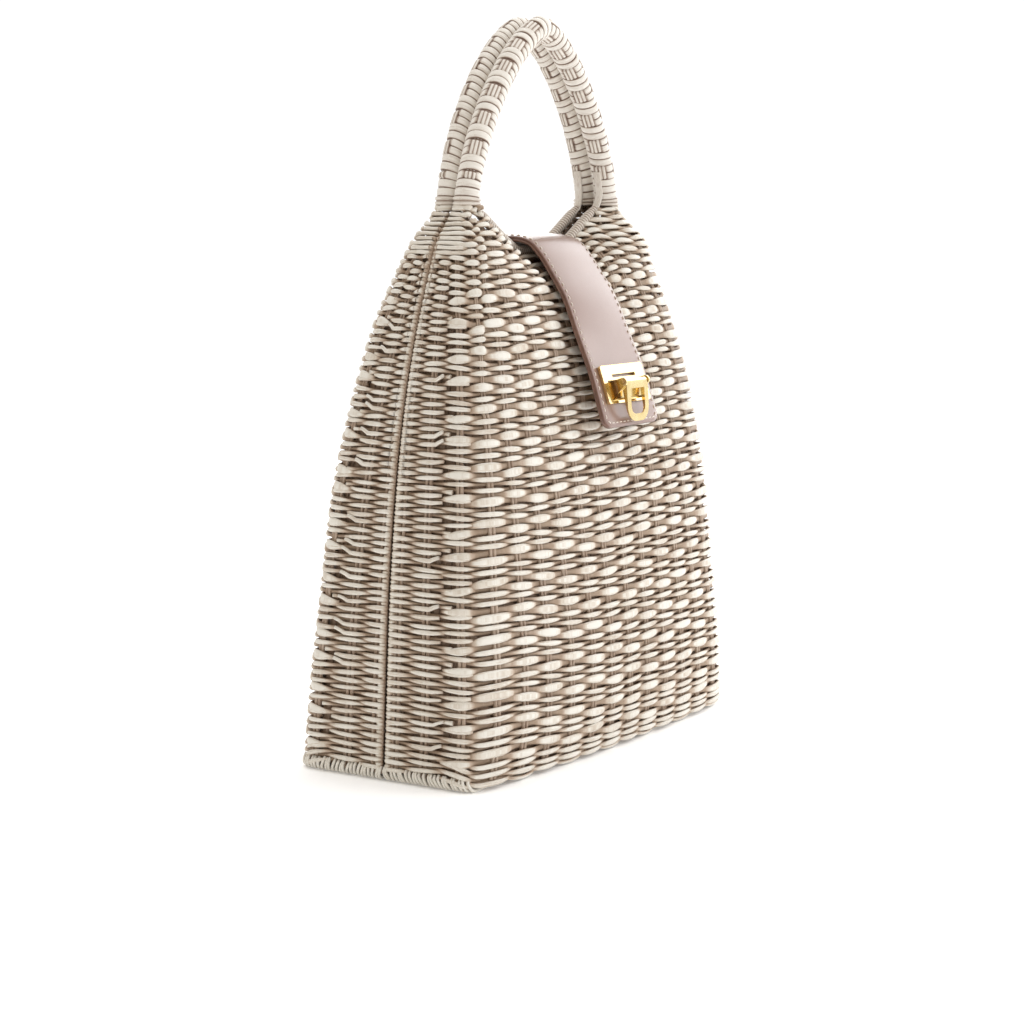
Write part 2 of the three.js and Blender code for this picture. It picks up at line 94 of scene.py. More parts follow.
# Stakes: their places round a half by height, from the left seam and from the right seam to the middle
STAKE_HEIGHTS = (72, 204, 250, 296)
LEFT_STAKES = np.array([
    (0.10, 0.405, 0.785, 1.045, 1.135, 1.217, 1.302, 1.385, 1.463),
    (0.075, 0.355, 0.705, 1.012, 1.076, 1.150, 1.232, 1.318, 1.405),
    (0.055, 0.30, 0.62, 0.94, 1.05, 1.12, 1.204, 1.305, 1.41),
    (0.05, 0.26, 0.42, 0.72, 0.94, 1.04, 1.118, 1.25, 1.40),
])
RIGHT_STAKES = np.array([
    (0.10, 0.405, 0.785, 1.045, 1.135, 1.217, 1.302, 1.385, 1.463),
    (0.09, 0.38, 0.74, 1.08, 1.172, 1.245, 1.325, 1.402, 1.49),
    (0.07, 0.33, 0.68, 1.065, 1.148, 1.22, 1.30, 1.375, 1.465),
    (0.05, 0.28, 0.60, 1.055, 1.136, 1.19, 1.238, 1.272, 1.32),
])
SEAM_COLUMN = 0.4
STAKE_SPREAD = 1.5
STAKE_RADIUS = 1.25
BACKING_DEPTH = 6.0
BACKING_THICK = 0.4
BACKING_OVERLAP = 1.12
BACKING_PAST_TOP = 5
BACKING_FULL_TOP = 309
BACKING_BELOW_FOOT = 2
STAKE_FOOT = 2.5
STAKE_TOP = 304
STAKE_WASH = 0.5
SEAM_ROD_PLACES = (0.03, 2.97)
SEAM_ROD_RADIUS = 1.3
SEAM_ROD_DEPTH = 3.2

# Weavers: half sizes across the wall and through it, and the swing between over and under a stake
THIN_TALL = 1.65
SIDE_TALL = 1.42
FLAT_TALL = 2.7
STRAND_THICK = 1.1
SWING = 1.75
TURN_POWER = 0.68
SWING_LOST_AT_TOP = 0.25
SWING_FADES = (290, 315)
THIN_SIDES = 6
FLAT_SIDES = 8
FLAT_SQUARE = 2.4
# Depths behind the outside over which a weaver goes from its pale crown to brown, and the palest it gets: a
# cream wash with painted shade that deepens into the hollows
WASHED_AND_LIT_DEPTH = 0.6
UNWASHED_AND_SHADED_DEPTH = 2.2
MOST_WASH_AND_LIGHT = 0.86
# Painted shade along the seam: the distance from the seam over which it fades, and the share of the pale
# wash left at the seam
SEAM_FADE = 2.7
SHADED_AT_SEAM = 0.2
STEPS_PER_COLUMN = 7

# Shares of a weaver's full height where it crosses from over to under, and where it lies behind a stake
THIN_CROWN = (0.68, 0.8)
FLAT_CROWN = (0.7, 0.82)
SIDE_CROWN = (0.7, 0.84)
WINDING_TALL = 0.78
CROWN_BLUNTNESS = 0.6

# Heights and columns over which the strands go from weaving to winding round the foot of a handle
SHOULDER_HEIGHTS = (287, 297)
SHOULDER_COLUMNS = (2.2, 2.9)

# Columns where weavers end: flat ones past the gusset's last stake, gusset ones past its second or third
FLAT_PAST_OVER = 0.5
FLAT_PAST_UNDER = 0.15
SIDE_END_BY_FLAT = 1.75
SIDE_END_OVER = 2.42
SIDE_END_UNDER = 1.5
HOOKS = (0.1, 0.3, 1.2)
HOOK_RISE = 2.2
HOOK_LIFT = 1.2

# A period of weavers on a panel: two flat ones, then three thin ones, in the height of seven gusset ones
PERIOD = 15.74
FLAT_ROWS = (1.97, 5.9)
THIN_ROWS = (9.2, 11.8, 14.4)
GUSSET_ROWS = tuple(PERIOD * (k + 0.5) / 7 for k in range(7))
FIRST_PERIOD = 15.04
PERIODS = 17
TOP_PITCH = 2.67

# Thin weavers below the first period, on the panel and on the gussets
FOOT_ROWS = 6
PANEL_FOOT = 1.4
PANEL_FOOT_PITCH = 2.45
GUSSET_FOOT = 7.4
GUSSET_FOOT_PITCH = 2.25

# How far the hand-laid rows stray from level by height, in the middle of a panel and towards its right
DRIFT_HEIGHTS = (0, 32, 60, 112, 178, 228, 262, 290, 320)
MIDDLE_DRIFT = (0, -5.5, -6.2, -3.9, 0, 0, 0, 0, 0)
RIGHT_DRIFT = (0, -5.5, -5.9, -4.3, 2.5, 3.5, 5.5, 6.5, 0)
MIDDLE_COLUMNS = (3, 7.5)
RIGHT_COLUMNS = (7.5, 12)
PAST_TOP = 5.6

# How much a row strays as a whole and wavers along its length
THIN_STRAY = (0.15, 0.7)
FLAT_STRAY = (0.2, 0.8)
SIDE_STRAY = (0.16, 0.6)

# Columns over which a thin weaver steps up to the panel, and its growth under the rim
PANEL_STEP = (1.4, 2.9)
THIN_GROWTH = 0.15
THIN_GROWS = (276, 290)


def smooth(low, high, value):
    """0 below low, 1 above high and a smooth step between."""
    t = np.clip((value - low) / (high - low), 0, 1)
    return t * t * (3 - 2 * t)


def unit(vectors):
    return vectors / np.maximum(np.linalg.norm(vectors, axis=-1, keepdims=True), 1e-12)


def travelled(points):
    """Distance along a line of points from its first one."""
    steps = np.linalg.norm(np.diff(points, axis=0), axis=1)
    return np.concatenate([[0], np.cumsum(steps)])


def cubic(t, span, start, end, leave, arrive):
    """A smooth step from start to end over a span, with the slopes that it leaves and arrives with."""
    near = (1 + 2 * t) * (1 - t) ** 2 * start + t * (1 - t) ** 2 * span * leave
    far = t * t * (3 - 2 * t) * end + t * t * (t - 1) * span * arrive
    return near + far


def section(index, share):
    """A column of SECTIONS at any share of the height: a smooth curve through its rows."""
    knots = SECTIONS[:, 0]
    values = SECTIONS[:, index]
    last = len(knots) - 1
    ahead = np.minimum(np.arange(last + 1) + 1, last)
    behind = np.maximum(np.arange(last + 1) - 1, 0)
    slopes = (values[ahead] - values[behind]) / (knots[ahead] - knots[behind])
    k = np.clip(np.searchsorted(knots, share, side="right") - 1, 0, last - 1)
    step = knots[k + 1] - knots[k]
    t = (share - knots[k]) / step
    return cubic(t, step, values[k], values[k + 1], slopes[k], slopes[k + 1])


def rim_height(x):
    """Height of a rim's centre line along the dip of the mouth."""
    past = np.abs(x) - DIP_HALF_WIDTH
    return DIP_FLOOR + DIP_SLOPE * (past + np.hypot(past, DIP_ROUNDING)) / 2


def top_edge(x):
    """Height of a shell's top edge: the rim rests on it, and past the rim it is level."""
    past = np.abs(x) - DIP_HALF_WIDTH
    slope = DIP_SLOPE * (1 + past / np.hypot(past, DIP_ROUNDING)) / 2
    under_rim = rim_height(x) - (RIM_RADIUS + 2 * CLEARANCE) * np.hypot(1, slope)
    return np.minimum(under_rim, SHELL_HEIGHT)


def linked(name, data):
    """An object made from a mesh, light or camera."""
    thing = bpy.data.objects.new(name, data)
    bpy.context.scene.collection.objects.link(thing)
    return thing


class Piece:
    """Swept strands and patches that are joined into one mesh object."""

    def __init__(self):
        self.points = []
        self.faces = []
        self.values = {}
        self.count = 0

    def add_grid(self, rings, values):
        """Adds one strand or more, by its rings of points and by values that spread over the points."""
        rings = rings.reshape(-1, *rings.shape[-3:])
        strands, length, sides = rings.shape[:3]
        index = self.count + np.arange(strands * length * sides).reshape(strands, length, sides)
        here = index[:, :-1]
        ahead = index[:, 1:]
        quads = np.stack([here, np.roll(here, -1, 2), np.roll(ahead, -1, 2), ahead], -1)
        self.faces.append(quads.reshape(-1, 4))
        self.faces.append(index[:, 0, ::-1])
        self.faces.append(index[:, -1])
        self.points.append(rings.reshape(-1, 3))
        for name, value in values.items():
            spread = np.broadcast_to(value, rings.shape[:3]).reshape(-1)
            self.values.setdefault(name, []).append(spread)
        self.count += strands * length * sides

    def build(self, name, material, slot, nodes=()):
        """The joined mesh, riding on the bag, with its material and in place of the plain solids named. The
        slot argument is not used.
        """
        mesh = bpy.data.meshes.new(name)
        points = np.concatenate(self.points) * MM
        corners = np.concatenate([face.reshape(-1) for face in self.faces])
        sizes = np.concatenate([np.full(len(face), face.shape[1]) for face in self.faces])
        starts = np.concatenate([[0], np.cumsum(sizes)[:-1]])
        mesh.vertices.add(len(points))
        mesh.vertices.foreach_set("co", points.astype(np.float32).reshape(-1))
        mesh.loops.add(len(corners))
        mesh.loops.foreach_set("vertex_index", corners.astype(np.int32))
        mesh.polygons.add(len(sizes))
        mesh.polygons.foreach_set("loop_start", starts.astype(np.int32))
        mesh.update(calc_edges=True)
        mesh.validate()
        mesh.shade_smooth()
        for key, parts in self.values.items():
            attribute = mesh.attributes.new(key, "FLOAT", "POINT")
            attribute.data.foreach_set("value", np.concatenate(parts).astype(np.float32))
        mesh.materials.append(material)
        return placed(linked(name, mesh), "bag", nodes)


def placed(piece, body, nodes=()):
    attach(piece, body)
    if nodes:
        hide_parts(*nodes)
    return piece


def swept(path, across, tall, thick, sides, square=2.0):
    """Rings of a strand along each path, and how far each point of a ring faces along its thickness."""
    tangent = unit(np.gradient(path, axis=-2))
    across = unit(across - tangent * np.sum(across * tangent, -1, keepdims=True))
    out = np.cross(tangent, across)
    turn = 2 * math.pi * (np.arange(sides) + 0.5) / sides
    wide = np.sign(np.cos(turn)) * np.abs(np.cos(turn)) ** (2 / square)
    deep = np.sign(np.sin(turn)) * np.abs(np.sin(turn)) ** (2 / square)
    tall = np.broadcast_to(tall, path.shape[:-1])[..., None, None]
    thick = np.broadcast_to(thick, path.shape[:-1])[..., None, None]
    to_edge = tall * wide[:, None] * across[..., None, :]
    to_face = thick * deep[:, None] * out[..., None, :]
    return path[..., None, :] + to_edge + to_face, deep


class HalfWall:
    """The outside of one woven half: points and directions by place round it and height.

    The place runs from 0 to 1 over the left gusset, to 2 over the panel and to 3 over the right gusset.
    Above its top edge, the wall is taken to go on in the same direction.
    """

    ROWS = 240
    GUSSET = 60
    PANEL = 200
    HEIGHTS = np.linspace(0, SHELL_HEIGHT, 641)
    TOP_ROWS = 12

    def __init__(self, side):
        self.side = side
        share = np.linspace(0, 1, self.ROWS + 1)
        low = np.maximum(BASE_EDGE_RADIUS - share * SHELL_HEIGHT, 0)
        inset = BASE_EDGE_RADIUS - np.sqrt(BASE_EDGE_RADIUS ** 2 - low ** 2)
        half = section(1, share) - inset
        depth = section(2 if side == FRONT else 3, share) - SEAM_GAP / 2 - inset
        shape = (half, depth, section(4, share), section(5, share))
        corner = np.arctan2(depth, half)
        gusset_angle = corner[:, None] * np.linspace(0, 1, 200)
        panel_angle = corner[:, None] + (math.pi / 2 - corner)[:, None] * np.linspace(0, 1, 400)
        gusset, gusset_arc = self.even(gusset_angle, shape, self.GUSSET)
        panel, half_panel = self.even(panel_angle, shape, self.PANEL // 2)
        quarter = np.concatenate([gusset, panel[:, 1:]], 1)
        mirrored = quarter[:, -2::-1]
        x = np.concatenate([-quarter[..., 0], mirrored[..., 0]], 1)
        y = np.concatenate([quarter[..., 1], mirrored[..., 1]], 1)
        drop = (SHELL_HEIGHT - top_edge(x)) * share[:, None] ** 3
        z = SHELL_HEIGHT * share[:, None] - drop
        points = np.stack([x, SEAM_Y + side * (SEAM_GAP / 2 + y), z], -1)
        self.gusset_arc = np.interp(self.HEIGHTS, share * SHELL_HEIGHT, gusset_arc)
        self.panel_arc = np.interp(self.HEIGHTS, share * SHELL_HEIGHT, 2 * half_panel)
        self.top = z[-1]
        self.points = np.stack([self.level(points[:, j]) for j in range(points.shape[1])], 1)
        self.draw_to_handles(HANDLE_OF[side])
        self.along = unit(np.gradient(self.points, axis=1))
        self.up = unit(np.gradient(self.points, axis=0))
        self.out = unit(np.cross(self.up, self.along) * side)

    @staticmethod
    def even(angle, shape, count):
        """Points at even distances along a stretch of each outline, and the stretch's length."""
        half, depth, bow, power = (value[:, None] for value in shape)
        across = np.abs(np.cos(angle) / half) ** power
        through = np.abs(np.sin(angle) / depth) ** power
        reach = (across + through) ** (-1 / power)
        x = reach * np.cos(angle)
        y = reach * np.sin(angle) * (1 - bow / depth * (x / half) ** 2)
        points = np.stack([x, y], -1)
        steps = np.linalg.norm(np.diff(points, axis=1), axis=-1)
        travel = np.concatenate([np.zeros((len(steps), 1)), np.cumsum(steps, 1)], 1)
        rows = []
        for row, way in zip(points, travel):
            at = np.linspace(0, way[-1], count + 1)
            rows.append(np.stack([np.interp(at, way, row[:, 0]), np.interp(at, way, row[:, 1])], -1))
        return np.array(rows), travel[:, -1]

    def level(self, column):
        """An upright line of points, set out again at even heights and carried on above its top."""
        heights = column[:, 2]
        over = np.maximum(self.HEIGHTS - heights[-1], 0)
        lower = -self.TOP_ROWS
        slope = (column[-1, :2] - column[lower, :2]) / (heights[-1] - heights[lower])
        x = np.interp(self.HEIGHTS, heights, column[:, 0]) + over * slope[0]
        y = np.interp(self.HEIGHTS, heights, column[:, 1]) + over * slope[1]
        return np.stack([x, y, self.HEIGHTS], -1)

    def draw_to_handles(self, name):
        """Draws the top of each shoulder in to the round foot of the handle."""
        _, _, out, half, _, _, middle = HANDLES[name]
        gusset = np.arange(self.GUSSET) / self.GUSSET
        panel = 1 + np.arange(self.PANEL + 1) / self.PANEL
        place = np.concatenate([gusset, panel, 3 - gusset[::-1]])
        half_panel = slice(self.GUSSET + self.PANEL // 2, self.GUSSET, -1)
        sloped = self.top[half_panel] < SHELL_HEIGHT - 0.1
        at_rim = np.interp(self.HEIGHTS, self.top[half_panel][sloped], place[half_panel][sloped])[:, None]
        rise = np.clip((self.HEIGHTS - FOOT_START) / (FOOT_END - FOOT_START), 0, 1)[:, None] ** 2
        radius = out - FOOT_FROM_SEAM
        for hand in (-1, 1):
            from_seam = (place if hand < 0 else 3 - place)[None, :]
            turn = np.radians(np.interp(from_seam / at_rim, FOOT_TURN_SHARES, FOOT_TURN_DEGREES))
            x = middle + hand * (half + radius * np.sin(turn))
            y = SEAM_Y + self.side * (out - radius * np.cos(turn))
            pull = rise * smooth(0.0, 0.2 - 0.17 * rise, at_rim - from_seam)
            self.points[..., 0] += pull * (x - self.points[..., 0])
            self.points[..., 1] += pull * (y - self.points[..., 1])

    def grid_column(self, place):
        left = place * self.GUSSET
        middle = self.GUSSET + (place - 1) * self.PANEL
        right = self.GUSSET + self.PANEL + (place - 2) * self.GUSSET
        column = np.where(place < 1, left, np.where(place < 2, middle, right))
        return np.clip(column, 0, self.points.shape[1] - 1.000001)

    def at(self, place, height, depth=0.0):
        """Points at a depth behind the outside, with the directions up and out there."""
        column = self.grid_column(place)
        row = np.clip(height / SHELL_HEIGHT, 0, 0.999999) * (len(self.HEIGHTS) - 1)
        j = column.astype(int)
        i = row.astype(int)
        u = (column - j)[..., None]
        v = (row - i)[..., None]

        def mixed(grid):
            low = grid[i, j] * (1 - u) + grid[i, j + 1] * u
            high = grid[i + 1, j] * (1 - u) + grid[i + 1, j + 1] * u
            return low * (1 - v) + high * v

        out = unit(mixed(self.out))
        shift = np.broadcast_to(depth, place.shape)[..., None]
        return mixed(self.points) - shift * out, unit(mixed(self.up)), out

    def below_top(self, place, height):
        """How far a height lies below the wall's top edge."""
        return np.interp(self.grid_column(place), np.arange(len(self.top)), self.top) - height

    def length_per_place(self, place, height):
        """Millimetres along the outline for a unit of place."""
        gusset = np.interp(height, self.HEIGHTS, self.gusset_arc)
        panel = np.interp(height, self.HEIGHTS, self.panel_arc)
        return np.where((place < 1) | (place > 2), gusset, panel)


LAST_COLUMN = 2 * LEFT_STAKES.shape[1] - 1
LAST_GUSSET_COLUMN = 2


def stake_places(height):
    """Place round the half of each stake column at a height, with the seams at both ends."""
    height = np.asarray(height, float)
    left = [np.interp(height, STAKE_HEIGHTS, places) for places in LEFT_STAKES.T]
    right = [3 - np.interp(height, STAKE_HEIGHTS, places) for places in RIGHT_STAKES.T]
    seam = np.zeros(height.shape)
    return np.stack([seam, *left, *right[::-1], seam + 3], -1)


def place_of(column, height):
    """Place round the half by stake column. The seams lie a part of a column outside the first and last."""
    knots = np.concatenate([[-SEAM_COLUMN], np.arange(LAST_COLUMN + 1), [LAST_COLUMN + SEAM_COLUMN]])
    places = stake_places(height)
    k = np.clip(np.searchsorted(knots, column, side="right") - 1, 0, len(knots) - 2)
    t = (column - knots[k]) / (knots[k + 1] - knots[k])
    row = np.arange(len(column))
    return places[row, k] * (1 - t) + places[row, k + 1] * t


def from_end(column):
    """Columns from the nearer seam."""
    return np.minimum(column, LAST_COLUMN - column)


def drift(column, height):
    """How far a row strays from level."""
    middle = np.interp(height, DRIFT_HEIGHTS, MIDDLE_DRIFT)
    right = np.interp(height, DRIFT_HEIGHTS, RIGHT_DRIFT)
    past_middle = (right - middle) * smooth(*RIGHT_COLUMNS, column)
    return middle * smooth(*MIDDLE_COLUMNS, column) + past_middle


def shoulder(column, height):
    """1 where the strands wind straight round the foot of a handle, 0 where they weave."""
    return smooth(*SHOULDER_HEIGHTS, height) * (1 - smooth(*SHOULDER_COLUMNS, from_end(column)))


def depth_of(column, parity, height):
    """Depth of a weaver's centre line behind the outside of the wall."""
    kept = 1 - SWING_LOST_AT_TOP * smooth(*SWING_FADES, height)
    swing = SWING * (1 - shoulder(column, height)) * kept
    side = np.cos(math.pi * (column - parity))
    return STRAND_THICK + swing * (1 - np.sign(side) * np.abs(side) ** TURN_POWER)


def crown_shape(column, parity, waist, back):
    """Share of a weaver's full height: most on a crown, least where it crosses and more again behind."""
    turn = math.pi * (column - parity)
    level = ((1 + np.cos(2 * turn)) / 2) ** CROWN_BLUNTNESS
    return np.where(np.cos(turn) > 0, waist + (1 - waist) * level, waist + (back - waist) * level)


# A weaver's turn round the edge rod at the seam: distance from the seam, and depth
SEAM_TURN_OVER = ((5.8, 1.1), (4.6, 1.15), (3.2, 1.3), (2.0, 2.0), (1.5, 3.2), (2.2, 4.6), (3.6, 5.2))
SEAM_TURN_UNDER = ((5.8, 4.2), (4.6, 2.7), (3.4, 1.6), (2.1, 2.0), (1.5, 3.2), (2.2, 4.6), (3.6, 5.2))
FIRST_STAKE_FROM_SEAM = 7.0


def seam_turn(parity, right):
    """Places and depths of the turn at a seam, outwards from the first stake."""
    over = (parity + (LAST_COLUMN if right else 0)) % 2 == 0
    turn = np.array(SEAM_TURN_OVER if over else SEAM_TURN_UNDER)
    place = LEFT_STAKES[0, 0] * turn[:, 0] / FIRST_STAKE_FROM_SEAM
    return (3 - place if right else place), turn[:, 1]


def weaver_rows():
    """Every weaver from the bottom up: kind, parity, height on the panel and height on the gussets."""
    rows = []
    for k in range(FOOT_ROWS):
        rows.append(("thin", k % 2, PANEL_FOOT + k * PANEL_FOOT_PITCH, GUSSET_FOOT + k * GUSSET_FOOT_PITCH))
    for period in range(PERIODS):
        start = FIRST_PERIOD + period * PERIOD
        for k, height in enumerate(FLAT_ROWS):
            rows.append(("flat", (period + k) % 2, start + height, start + height))
        for k, height in enumerate(GUSSET_ROWS[:4]):
            with_flat = (period + k // 2) % 2 == 0
            rows.append(("side", (period + k) % 2, with_flat, start + height))
        for k, height in enumerate(THIN_ROWS):
            rows.append(("thin", (period + k) % 2, start + height, start + GUSSET_ROWS[4 + k]))
    top = FIRST_PERIOD + PERIODS * PERIOD
    heights = np.append(np.arange(top + TOP_PITCH / 2, SHELL_HEIGHT, TOP_PITCH), SHELL_HEIGHT)
    rows.extend(("thin", (PERIODS + k) % 2, height, height) for k, height in enumerate(heights))
    return rows


def wobble(rng, column, stray, size):
    """How far a hand-laid strand lies off its row: as a whole, and in a slow waver along it."""
    total = np.full_like(column, rng.normal(0, stray))
    for length in (3.1, 5.7):
        total += size / 2 * np.sin(2 * math.pi * (column / length + rng.random()))
    return total


def add_strand(piece, wall, place, height, depth, tall, thick, sides, tone, square=2.0):
    """One weaver along the wall: a cream wash on top of its crowns, with painted shade that deepens into its
    hollows and painted shade beside the seam.
    """
    path, up, _ = wall.at(place, height, depth)
    rings, deep = swept(path, up, tall, thick, sides, square)
    outward = -wall.side * deep
    lift = depth[:, None] - thick * outward
    # Painted shade along the seam gap
    seam_shading = SHADED_AT_SEAM + (1 - SHADED_AT_SEAM) * smooth(SEAM_GAP, SEAM_FADE, np.abs(path[:, 1] - SEAM_Y))
    # Painted shade with depth into the hollows, over the cream wash
    values = {
        "wash_and_shade": MOST_WASH_AND_LIGHT * (1 - smooth(WASHED_AND_LIT_DEPTH, UNWASHED_AND_SHADED_DEPTH, lift)) * seam_shading[:, None],
        "along": travelled(path)[:, None],
        "around": outward,
        "tone": tone,
    }
    piece.add_grid(rings, values)


def runs_of(inside):
    """Each stretch of True that is worth a strand."""
    edges = np.flatnonzero(np.diff(np.concatenate([[False], inside, [False]]).astype(int)))
    return [slice(first, past) for first, past in edges.reshape(-1, 2) if past - first > 5]


def weave_half(name, side, node):
    """All weavers of one half, as thin, flat and gusset pieces, with its stakes and its base."""
    wall = HalfWall(side)
    rng = np.random.default_rng(11 + side)
    thin = Piece()
    flat = Piece()
    sides = Piece()
    for kind, parity, panel_height, gusset_height in weaver_rows():
        if kind == "thin":
            add_thin(thin, wall, rng, parity, panel_height, gusset_height)
        elif kind == "flat":
            add_flat(flat, wall, rng, parity, panel_height)
        elif gusset_height > GUSSET_FOOT + (FOOT_ROWS - 0.5) * GUSSET_FOOT_PITCH:
            for right in (False, True):
                add_side(sides, wall, rng, parity, panel_height, gusset_height, right)
    thin.build(name + "_thin_weavers", wicker, "wicker", [node])
    flat.build(name + "_flat_weavers", wicker, "wicker")
    sides.build(name + "_side_weavers", wicker, "wicker")
    stakes(wall).build(name + "_stakes", bark, "wicker")
    base(side).build(name + "_base", wicker, "wicker")


def add_thin(piece, wall, rng, parity, panel_height, gusset_height):
    """A thin weaver round the whole half, which steps up from the gussets to the panel.

    Where the mouth dips below it, it is left out.
    """
    column = np.linspace(0, LAST_COLUMN, LAST_COLUMN * STEPS_PER_COLUMN + 1)
    on_panel = smooth(*PANEL_STEP, from_end(column))
    height = gusset_height + (panel_height - gusset_height) * on_panel
    waver = wobble(rng, column, *THIN_STRAY) * (1 - 0.7 * shoulder(column, height))
    height = np.clip(height + drift(column, height) + waver, 0.5, SHELL_HEIGHT - 0.2)
    place = place_of(column, height)
    depth = depth_of(column, parity, height)
    full = SIDE_TALL + (THIN_TALL - SIDE_TALL) * on_panel + THIN_GROWTH * smooth(*THIN_GROWS, height)
    winding = shoulder(column, height)
    shape = crown_shape(column, parity, *THIN_CROWN) * (1 - winding) + WINDING_TALL * winding
    tall = rng.uniform(0.9, 1.1) * full * shape
    tone = rng.random()
    left = seam_turn(parity, False)
    right = seam_turn(parity, True)
    ends = np.ones(len(left[0]))
    for span in runs_of(wall.below_top(place, height) > -PAST_TOP):
        strand = [place[span], height[span], depth[span], tall[span]]
        if span.start == 0:
            start = (left[0][::-1], ends * height[0], left[1][::-1], ends * tall[0])
            strand = [np.concatenate(pair) for pair in zip(start, strand)]
        if span.stop == len(column):
            end = (right[0], ends * height[-1], right[1], ends * tall[-1])
            strand = [np.concatenate(pair) for pair in zip(strand, end)]
        add_strand(piece, wall, *strand, STRAND_THICK, THIN_SIDES, tone)


def add_flat(piece, wall, rng, parity, height):
    """A flat weaver over the panel. It starts slanted beside the gusset's last stake, cut where it shows."""
    first = LAST_GUSSET_COLUMN
    last = LAST_COLUMN - first
    start = first - (FLAT_PAST_OVER if parity == 0 else FLAT_PAST_UNDER)
    end = last + (FLAT_PAST_OVER if parity == 1 else FLAT_PAST_UNDER)
    column = np.linspace(start, end, round((end - start) * STEPS_PER_COLUMN) + 1)
    inside = np.minimum(column - start, end - column)
    slant = rng.uniform(0.6, 2.6) * (1 - smooth(0.0, 1.1, inside))
    lift = height + drift(column, height) + wobble(rng, column, *FLAT_STRAY) - slant
    taper = 0.45 + 0.55 * smooth(-0.1, 0.5, inside)
    tall = rng.uniform(0.92, 1.08) * FLAT_TALL * crown_shape(column, parity, *FLAT_CROWN) * taper
    depth = depth_of(column, parity, lift)
    place = place_of(column, lift)
    tone = rng.random()
    for span in runs_of(wall.below_top(place, lift) > -PAST_TOP):
        strand = (place[span], lift[span], depth[span], tall[span])
        add_strand(piece, wall, *strand, 0.95 * STRAND_THICK, FLAT_SIDES, tone, FLAT_SQUARE)


def add_side(piece, wall, rng, parity, with_flat, height, right):
    """A gusset weaver: it ends in a hook past the second stake, or is cut past the third."""
    parity_here = (parity + LAST_COLUMN) % 2 if right else parity
    over_third = parity_here == 0
    if not over_third:
        end = SIDE_END_UNDER
    elif with_flat != right:
        end = SIDE_END_BY_FLAT
    else:
        end = SIDE_END_OVER
    end += rng.uniform(-0.06, 0.06)
    column = np.linspace(0, end, round(end * STEPS_PER_COLUMN) + 1)
    hook = 0 if over_third else rng.choice(HOOKS)
    across = LAST_COLUMN - column if right else column
    lift = height + drift(across, height) + wobble(rng, column, *SIDE_STRAY)
    lift = lift + hook * HOOK_RISE * smooth(end - 0.32, end, column)
    depth = depth_of(across, parity, lift)
    depth = depth - hook * HOOK_LIFT * smooth(end - 0.25, end, column) * depth / SWING
    tall = rng.uniform(0.9, 1.1) * SIDE_TALL * crown_shape(column, parity_here, *SIDE_CROWN)
    place = place_of(across, lift)
    turn_place, turn_depth = seam_turn(parity, right)
    ends = np.ones(len(turn_place))
    order = slice(None, None, -1) if right else slice(None)
    add_strand(
        piece, wall,
        np.concatenate([turn_place[::-1], place])[order],
        np.concatenate([ends * lift[0], lift])[order],
        np.concatenate([turn_depth[::-1], depth])[order],
        np.concatenate([ends * tall[0], tall])[order],
        STRAND_THICK, THIN_SIDES, rng.random(),
    )


def stakes(wall):
    """Pairs of upright rods behind the weavers, a rod along each seam edge and flat splints behind them."""
    piece = Piece()
    rng = np.random.default_rng(5)
    height = np.linspace(STAKE_FOOT, STAKE_TOP, 80)
    for places in stake_places(height).T[1:-1]:
        per_place = wall.length_per_place(places, height)
        narrow = np.clip(per_place / per_place.max(), 0.45, 1)
        for hand in (-1, 1):
            here = places + hand * STAKE_SPREAD * narrow / per_place
            add_stake(piece, wall, rng, here, height, STAKE_RADIUS * narrow, 2 * STRAND_THICK + STAKE_RADIUS)
    level = np.ones_like(height)
    for edge in SEAM_ROD_PLACES:
        add_stake(piece, wall, rng, edge * level, height, SEAM_ROD_RADIUS * level, SEAM_ROD_DEPTH)
    start, end = SEAM_ROD_PLACES
    edges = np.concatenate([np.linspace(start, 1, 9), np.linspace(1, 2, 26)[1:-1], np.linspace(2, end, 9)])
    height = np.linspace(STAKE_FOOT, SHELL_HEIGHT - 0.5, 90)
    for low, high in zip(edges[:-1], edges[1:]):
        middle = np.full_like(height, (low + high) / 2)
        left, _, _ = wall.at(middle + (low - high) / 2, height, BACKING_DEPTH)
        right, _, _ = wall.at(middle + (high - low) / 2, height, BACKING_DEPTH)
        half = BACKING_OVERLAP / 2 * np.linalg.norm(right - left, axis=-1)
        add_stake(piece, wall, rng, middle, height, half, BACKING_DEPTH, BACKING_THICK)
    return piece


def add_stake(piece, wall, rng, place, height, radius, depth, thick=None):
    """An upright rod or flat splint, as far up as the wall reaches."""
    depth = np.full_like(height, depth)
    splint_least = np.where(height < BACKING_FULL_TOP, -BACKING_PAST_TOP, BACKING_BELOW_FOOT)
    least = 0.0 if thick is None else splint_least
    wash_and_shade = STAKE_WASH if thick is None else 0.0
    for span in runs_of(wall.below_top(place, height) > least):
        path, up, out = wall.at(place[span], height[span], depth[span])
        size = radius[span] * rng.uniform(0.92, 1.08)
        rings, deep = swept(path, np.cross(out, up), size, thick or size, THIN_SIDES)
        values = {"along": height[span][:, None], "around": deep, "tone": rng.random(), "wash_and_shade": wash_and_shade}
        piece.add_grid(rings, values)


# The base: its rows, their turn up round the edge of the gussets, and its pairs of rods
BASE_PITCH = 2.75
BASE_COLUMN = 24.6
BASE_FIRST_ROW = 1.9
BASE_LAST_ROW = 3.5
BASE_ROW_INSET = 1.2
BASE_ROW_HALF = 1.35
BASE_END_HALF = 0.85
BASE_END_LIFT = 0.3
